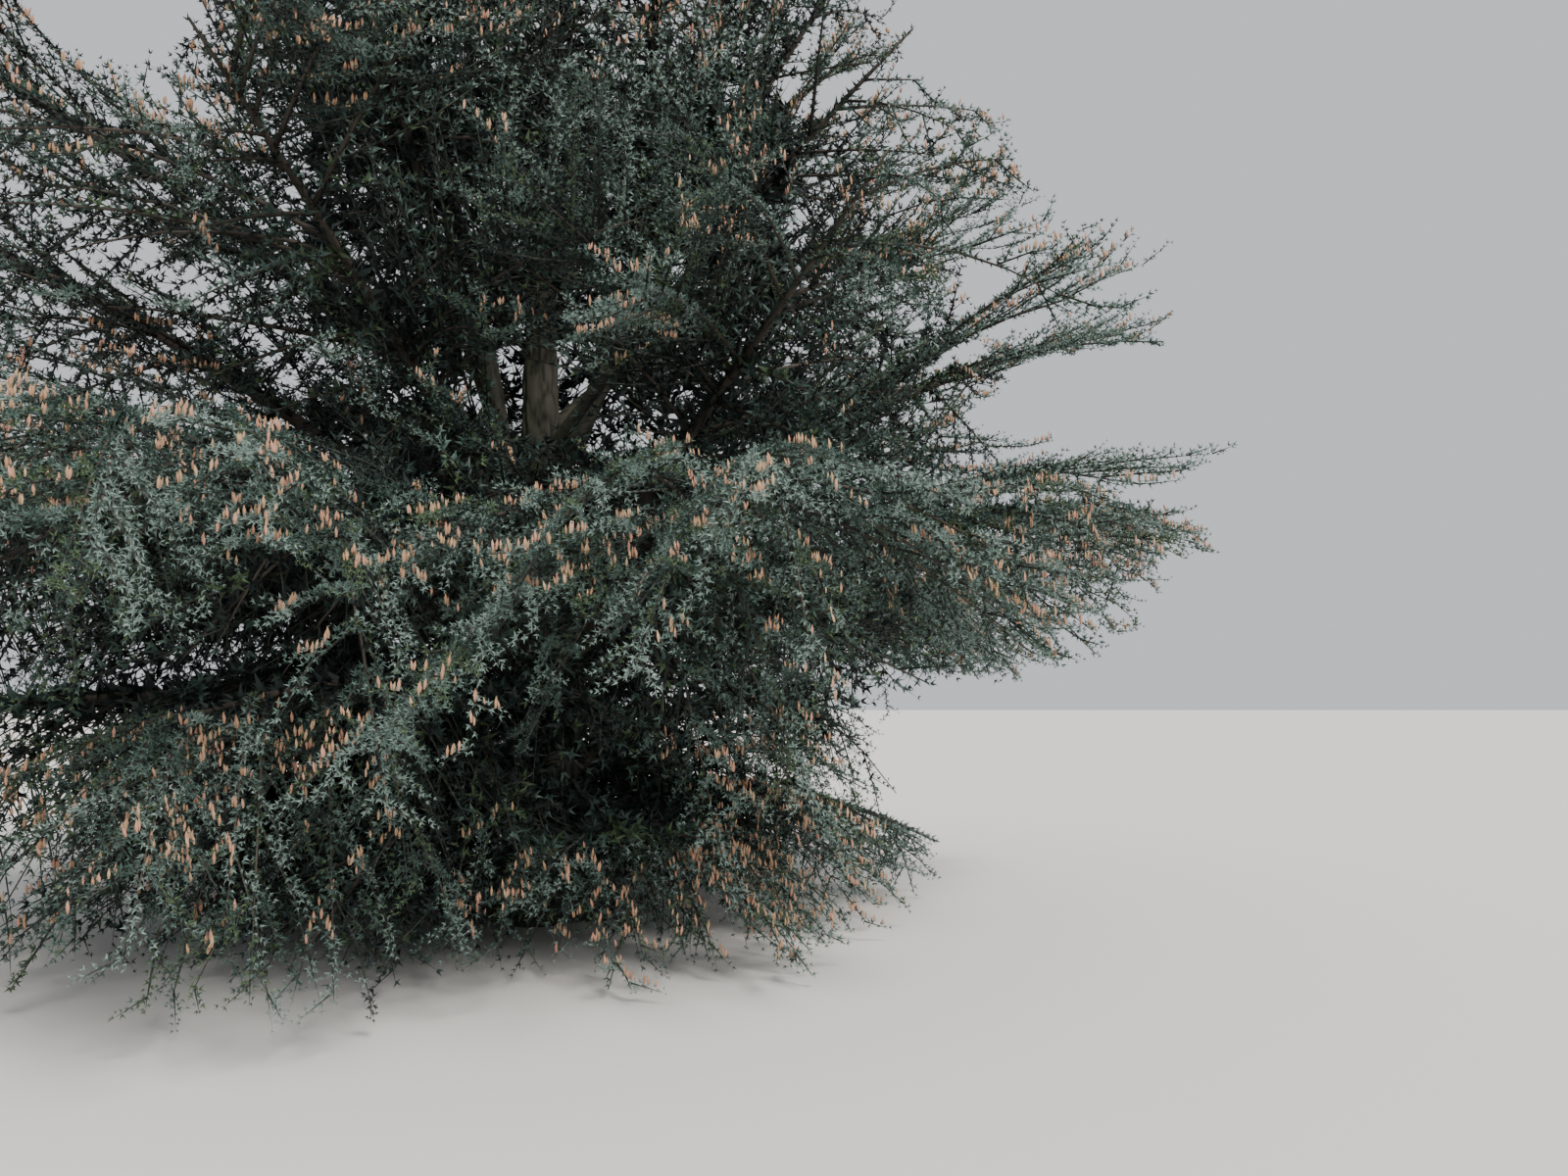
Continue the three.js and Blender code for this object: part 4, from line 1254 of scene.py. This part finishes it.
def rosette(material, sizes):
    growth = Growth("rosette_of_needles", sizes)
    add, maths, inputs = growth.add, growth.maths, growth.inputs
    triangle = add("GeometryNodeMeshCircle", {"fill_type": "NGON"}, Vertices=3, Radius=1.0)
    rooted = add("GeometryNodeTransform", Geometry=triangle, Translation=(0.5, 0.0, 0.0))
    long = maths("DIVIDE", inputs["Needle length"], TRIANGLE_LENGTH)
    wide = maths("DIVIDE", inputs["Needle width"], TRIANGLE_WIDTH)
    stretch = add("ShaderNodeCombineXYZ", X=long, Y=wide, Z=1.0)
    needle = add("GeometryNodeTransform", Geometry=rooted, Scale=stretch)
    hub = add("GeometryNodeMeshCircle", {"fill_type": "NONE"}, Vertices=inputs["Needles"], Radius=HUB_RADIUS)
    index = add("GeometryNodeInputIndex")
    lean = maths("MULTIPLY", maths("MODULO", index, 2.0), NEEDLE_LEAN)
    tilt = maths("MULTIPLY", maths("ADD", NEEDLE_TILT, lean), -1.0)
    turn = maths("MULTIPLY", index, maths("DIVIDE", 2 * math.pi, inputs["Needles"]))
    pose = add("ShaderNodeCombineXYZ", X=NEEDLE_ROLL, Y=tilt, Z=turn)
    star = add("GeometryNodeInstanceOnPoints", Points=hub, Instance=needle, Rotation=pose)
    spin = add("FunctionNodeRandomValue", {"data_type": "FLOAT"}, Max=2 * math.pi, Seed=inputs["Seed"])
    return growth.end_with(add("GeometryNodeRealizeInstances", Geometry=star), material, spin)


print("rosette tree ready")

# %% [markdown]
# Blue cedar needles carry a waxy bloom that makes them grey-blue, some of them greener. Each spray has one
# plain tint out of a few, and the tints are lit and shaded copies of that colour, so light and shade are
# painted into the needles. All places are put in order from painted shade to painted light, and each tint
# takes its share of them.

# %% Needles
# Lit and shaded copies of one needle colour: the darkest tints are painted shade, the lightest painted light.
TINTS = {
    "deep": (0.36, (0.012, 0.021, 0.019)),
    "teal": (0.23, (0.038, 0.070, 0.058)),
    "moss": (0.09, (0.062, 0.098, 0.048)),
    "slate": (0.18, (0.088, 0.138, 0.120)),
    "bloom": (0.14, (0.166, 0.234, 0.208)),
}
DEPTH_SHADE, HEIGHT_SHADE, SHADE_ABOVE, SUN_SIDE, TINT_PLAY = 0.35, 0.07, 3.0, 0.05, 0.05
NEEDLES, NEEDLE_SEED, MOST_TRIANGLES = 4, 3, 190000
FINE_DEPTH = 0.75
NEEDLE_SIZES = {"close": (0.024, 0.0095), "outer": (0.035, 0.0140), "inner": (0.040, 0.0165)}

# Painted light and shade: a place's tint is darker the deeper it lies in the crown and the higher above three
# metres, and lighter toward the sunny right, around a random tone for each spray.
painted_light_level = shade - DEPTH_SHADE * depth - HEIGHT_SHADE * np.maximum(spot[:, 2] - SHADE_ABOVE, 0)
painted_light_level = painted_light_level + SUN_SIDE * spot[:, 0] + chance.normal(size=len(spot)) * TINT_PLAY
from_dark = np.argsort(painted_light_level)
tint_of = np.full(len(spot), "bloom")
start = 0
for name, (part_of, _) in TINTS.items():
    end = start + round(part_of * len(spot))
    tint_of[from_dark[start:end]] = name
    start = end
kind_of = np.where(close, "close", np.where(depth < FINE_DEPTH, "outer", "inner"))
for name, (_, colour) in TINTS.items():
    material = shader("needles_" + name, 0.62, 0.35, colour)[0]
    for kind, (long, wide) in NEEDLE_SIZES.items():
        chosen = np.where((tint_of == name) & (kind_of == kind))[0]
        batches = np.array_split(chosen, math.ceil(len(chosen) * NEEDLES / MOST_TRIANGLES))
        for batch, some in enumerate(batches):
            seed, label = NEEDLE_SEED + batch, f"needles_{name}_{kind}_{batch + 1}"
            sizes = {"Needle length": long, "Needle width": wide, "Needles": NEEDLES, "Seed": seed}
            grown(label, rosette(material, sizes), spot[some], heading[some], size[some], "foliage")

# %% [markdown]
# In autumn the pollen cones stand upright on the sprays like small candles, tan and salmon once they are
# spent. They come in clusters, many on one spray and none on the next, in patches of the crown and most on
# its sunny side. First the sprays that bear cones are picked, then a place for each cone, on the spray or
# on its side shoots.

# %% Places for cones
CONES = 12500
ON_SPRAY, ON_SHOOT, CLUSTER_SPREAD, CLUSTER_REACH = 9, 6, 0.07, 0.11
SUN_RIGHT, SUN_DEPTH, LEAST_SUN, LUCK_IN_SUN = 0.55, 5.0, 0.12, 1.3
PATCH_WAVES, PATCH_START, PATCH_LEVEL, PATCH_SUN = (1.9, 2.1, 2.6), (0.4, 1.1, 0.3), 0.06, 0.14
RICH_RIGHT, RICH_BELOW, RICHER = 0.4, 2.2, 0.25
BEARING_DEPTH, BEARING_LENGTH, STEEPEST = 1.1, 0.24, -0.65
CLUSTER_AT, CLUSTER_LIMITS, SHOOT_LIMITS = (0.25, 0.85), (0.05, 0.98), (0.1, 0.8)

spray_middle = all_sprays_at(0.5)
sunny = np.clip(0.5 + (SUN_RIGHT * spray_middle[:, 0] - spray_middle[:, 1]) / SUN_DEPTH, LEAST_SUN, 1.0)
patchy = np.prod(np.sin(spray_middle * PATCH_WAVES + PATCH_START), axis=1)
richer = np.where((spray_middle[:, 0] > RICH_RIGHT) & (spray_middle[:, 2] < RICH_BELOW), RICHER, 0.0)
bearing = (luck < LUCK_IN_SUN * sunny) & (patchy > PATCH_LEVEL - PATCH_SUN * sunny - richer)
bearing &= (spray_depth < BEARING_DEPTH) & (length > BEARING_LENGTH) & (way[:, 2] > STEEPEST)
cluster = chance.uniform(*CLUSTER_AT, len(length))
on_sprays = np.repeat(np.where(bearing)[0], ON_SPRAY)
wander = CLUSTER_SPREAD / length[on_sprays] * chance.normal(size=len(on_sprays))
spray_spot, spray_ahead = on_spray(on_sprays, np.clip(cluster[on_sprays] + wander, *CLUSTER_LIMITS))
in_cluster = bearing[rows] & (np.abs(t - cluster[rows]) * length[rows] < CLUSTER_REACH)
on_side_shoots = np.repeat(np.where(in_cluster)[0], ON_SHOOT)
shoot_spot, shoot_ahead = on_shoots(on_side_shoots, chance.uniform(*SHOOT_LIMITS, len(on_side_shoots)))
cone_spot, cone_ahead = np.concatenate([spray_spot, shoot_spot]), np.concatenate([spray_ahead, shoot_ahead])
print("sprays that bear cones", int(bearing.sum()), "places on them", len(cone_spot))
chosen = np.sort(chance.choice(len(cone_spot), min(CONES, len(cone_spot)), replace=False))
cone_spot, cone_ahead = cone_spot[chosen], cone_ahead[chosen]

# %% [markdown]
# A short curve with a radius that swells and closes gives the shape of a cone, with three sides, since each
# is only a few pixels wide in the picture. The same kind of tree as for the rosettes sets one on every
# place. Near the camera the cones are a little smaller, as their true size shows there.

# %% Pollen cones
CONE_SIZES = {"Cone length": 0.050, "Cone width": 0.0175}
CONE_RINGS, CONE_SIDES = 3, 3
ARCH_START, ARCH_TURN = 0.6, 2.42
SIDE_LEAN, CONE_PLAY, CONE_LIFT, CONE_ASIDE = 0.15, 0.10, 0.016, 0.012
SIZE_LIMITS, CONE_NEAR_TO_FAR, SMALLER_NEAR = (0.7, 1.25), (5.0, 8.5), 0.80
CONE_TINTS = {
    "tan": (0.45, (0.375, 0.230, 0.142)),
    "salmon": (0.35, (0.475, 0.258, 0.180)),
    "straw": (0.2, (0.465, 0.320, 0.195)),
}


def pollen_cone(material):
    growth = Growth("pollen_cone", CONE_SIZES)
    add, maths, inputs = growth.add, growth.maths, growth.inputs
    line = add("GeometryNodeCurvePrimitiveLine", End=(0.0, 0.0, 1.0))
    points = add("GeometryNodeResampleCurve", Curve=line, Count=CONE_RINGS)
    factor = add("GeometryNodeSplineParameter")
    arch = maths("SINE", maths("ADD", maths("MULTIPLY", factor, ARCH_TURN), ARCH_START))
    ring = add("GeometryNodeCurvePrimitiveCircle", Resolution=CONE_SIDES, Radius=0.5)
    tube = add("GeometryNodeCurveToMesh", Curve=points, Profile_Curve=ring, Scale=arch, Fill_Caps=True)
    long, wide = inputs["Cone length"], inputs["Cone width"]
    stretch = add("ShaderNodeCombineXYZ", X=wide, Y=wide, Z=long)
    return growth.end_with(add("GeometryNodeTransform", Geometry=tube, Scale=stretch), material)


cone_side = np.cross(cone_ahead, UP) * chance.uniform(-1, 1, (len(cone_spot), 1))
cone_heading = UP + SIDE_LEAN * cone_side + CONE_PLAY * chance.normal(size=(len(cone_spot), 3))
cone_spot = cone_spot + CONE_LIFT * UP + CONE_ASIDE * cone_side
cone_size = chance.uniform(*SIZE_LIMITS, len(cone_spot))
cone_size = cone_size * np.interp(distance(cone_spot), CONE_NEAR_TO_FAR, (SMALLER_NEAR, 1.0))
cone_tint = chance.choice(len(CONE_TINTS), len(cone_spot), p=[share for share, _ in CONE_TINTS.values()])
for number, (name, (_, colour)) in enumerate(CONE_TINTS.items()):
    some = np.where(cone_tint == number)[0]
    growth = pollen_cone(shader("cone_" + name, 0.8, 0.25, colour)[0])
    grown("cones_" + name, growth, cone_spot[some], cone_heading[some], cone_size[some], "cones")

# %% [markdown]
# The studio is plain: a wide pale floor, an even pale sky for fill, and one large soft sun from above the
# camera's right shoulder, as on the bright overcast day of the photograph. The floor is marked as stage,
# since it isn't part of the tree.

# %% Studio
HALF_FLOOR = 90
FLOOR_COLOUR, SKY_COLOUR, SUN_COLOUR = (0.70, 0.685, 0.66), (0.92, 0.95, 1.0), (1.0, 0.96, 0.90)
SKY_STRENGTH, SUN_STRENGTH, SUN_WIDTH, SUN_TURN = 0.75, 4.8, 18, (42, 14, 20)

corners = [(x * HALF_FLOOR, y * HALF_FLOOR, 0) for x, y in ((-1, -1), (1, -1), (1, 1), (-1, 1))]
floor_mesh = bpy.data.meshes.new("floor")
floor_mesh.from_pydata(corners, [], [(0, 1, 2, 3)])
floor_mesh.materials.append(shader("floor", 0.95, 0.5, FLOOR_COLOUR)[0])
floor = in_scene("floor", floor_mesh)
floor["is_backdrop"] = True

world = bpy.data.worlds.new("sky")
world.use_nodes = True
sky = world.node_tree.nodes["Background"]
sky.inputs["Color"].default_value = (*SKY_COLOUR, 1.0)
sky.inputs["Strength"].default_value = SKY_STRENGTH
bpy.context.scene.world = world

sun = in_scene("soft_sun", bpy.data.lights.new("soft_sun", "SUN"))
sun.data.energy = SUN_STRENGTH
sun.data.angle = math.radians(SUN_WIDTH)
sun.data.color = SUN_COLOUR
sun.rotation_euler = tuple(math.radians(turn) for turn in SUN_TURN)
print("studio ready")

# %% [markdown]
# Last come the sizes. The box round the dressed tree is kept beside the box of the solids, so that both can
# be compared.

# %% Sizes and finish
dressed_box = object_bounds()
sizes = {"cad": [list(corner) for corner in cad_box], "dressed": [list(corner) for corner in dressed_box]}
print("dressed box", [round(c, 3) for corner in dressed_box for c in corner])
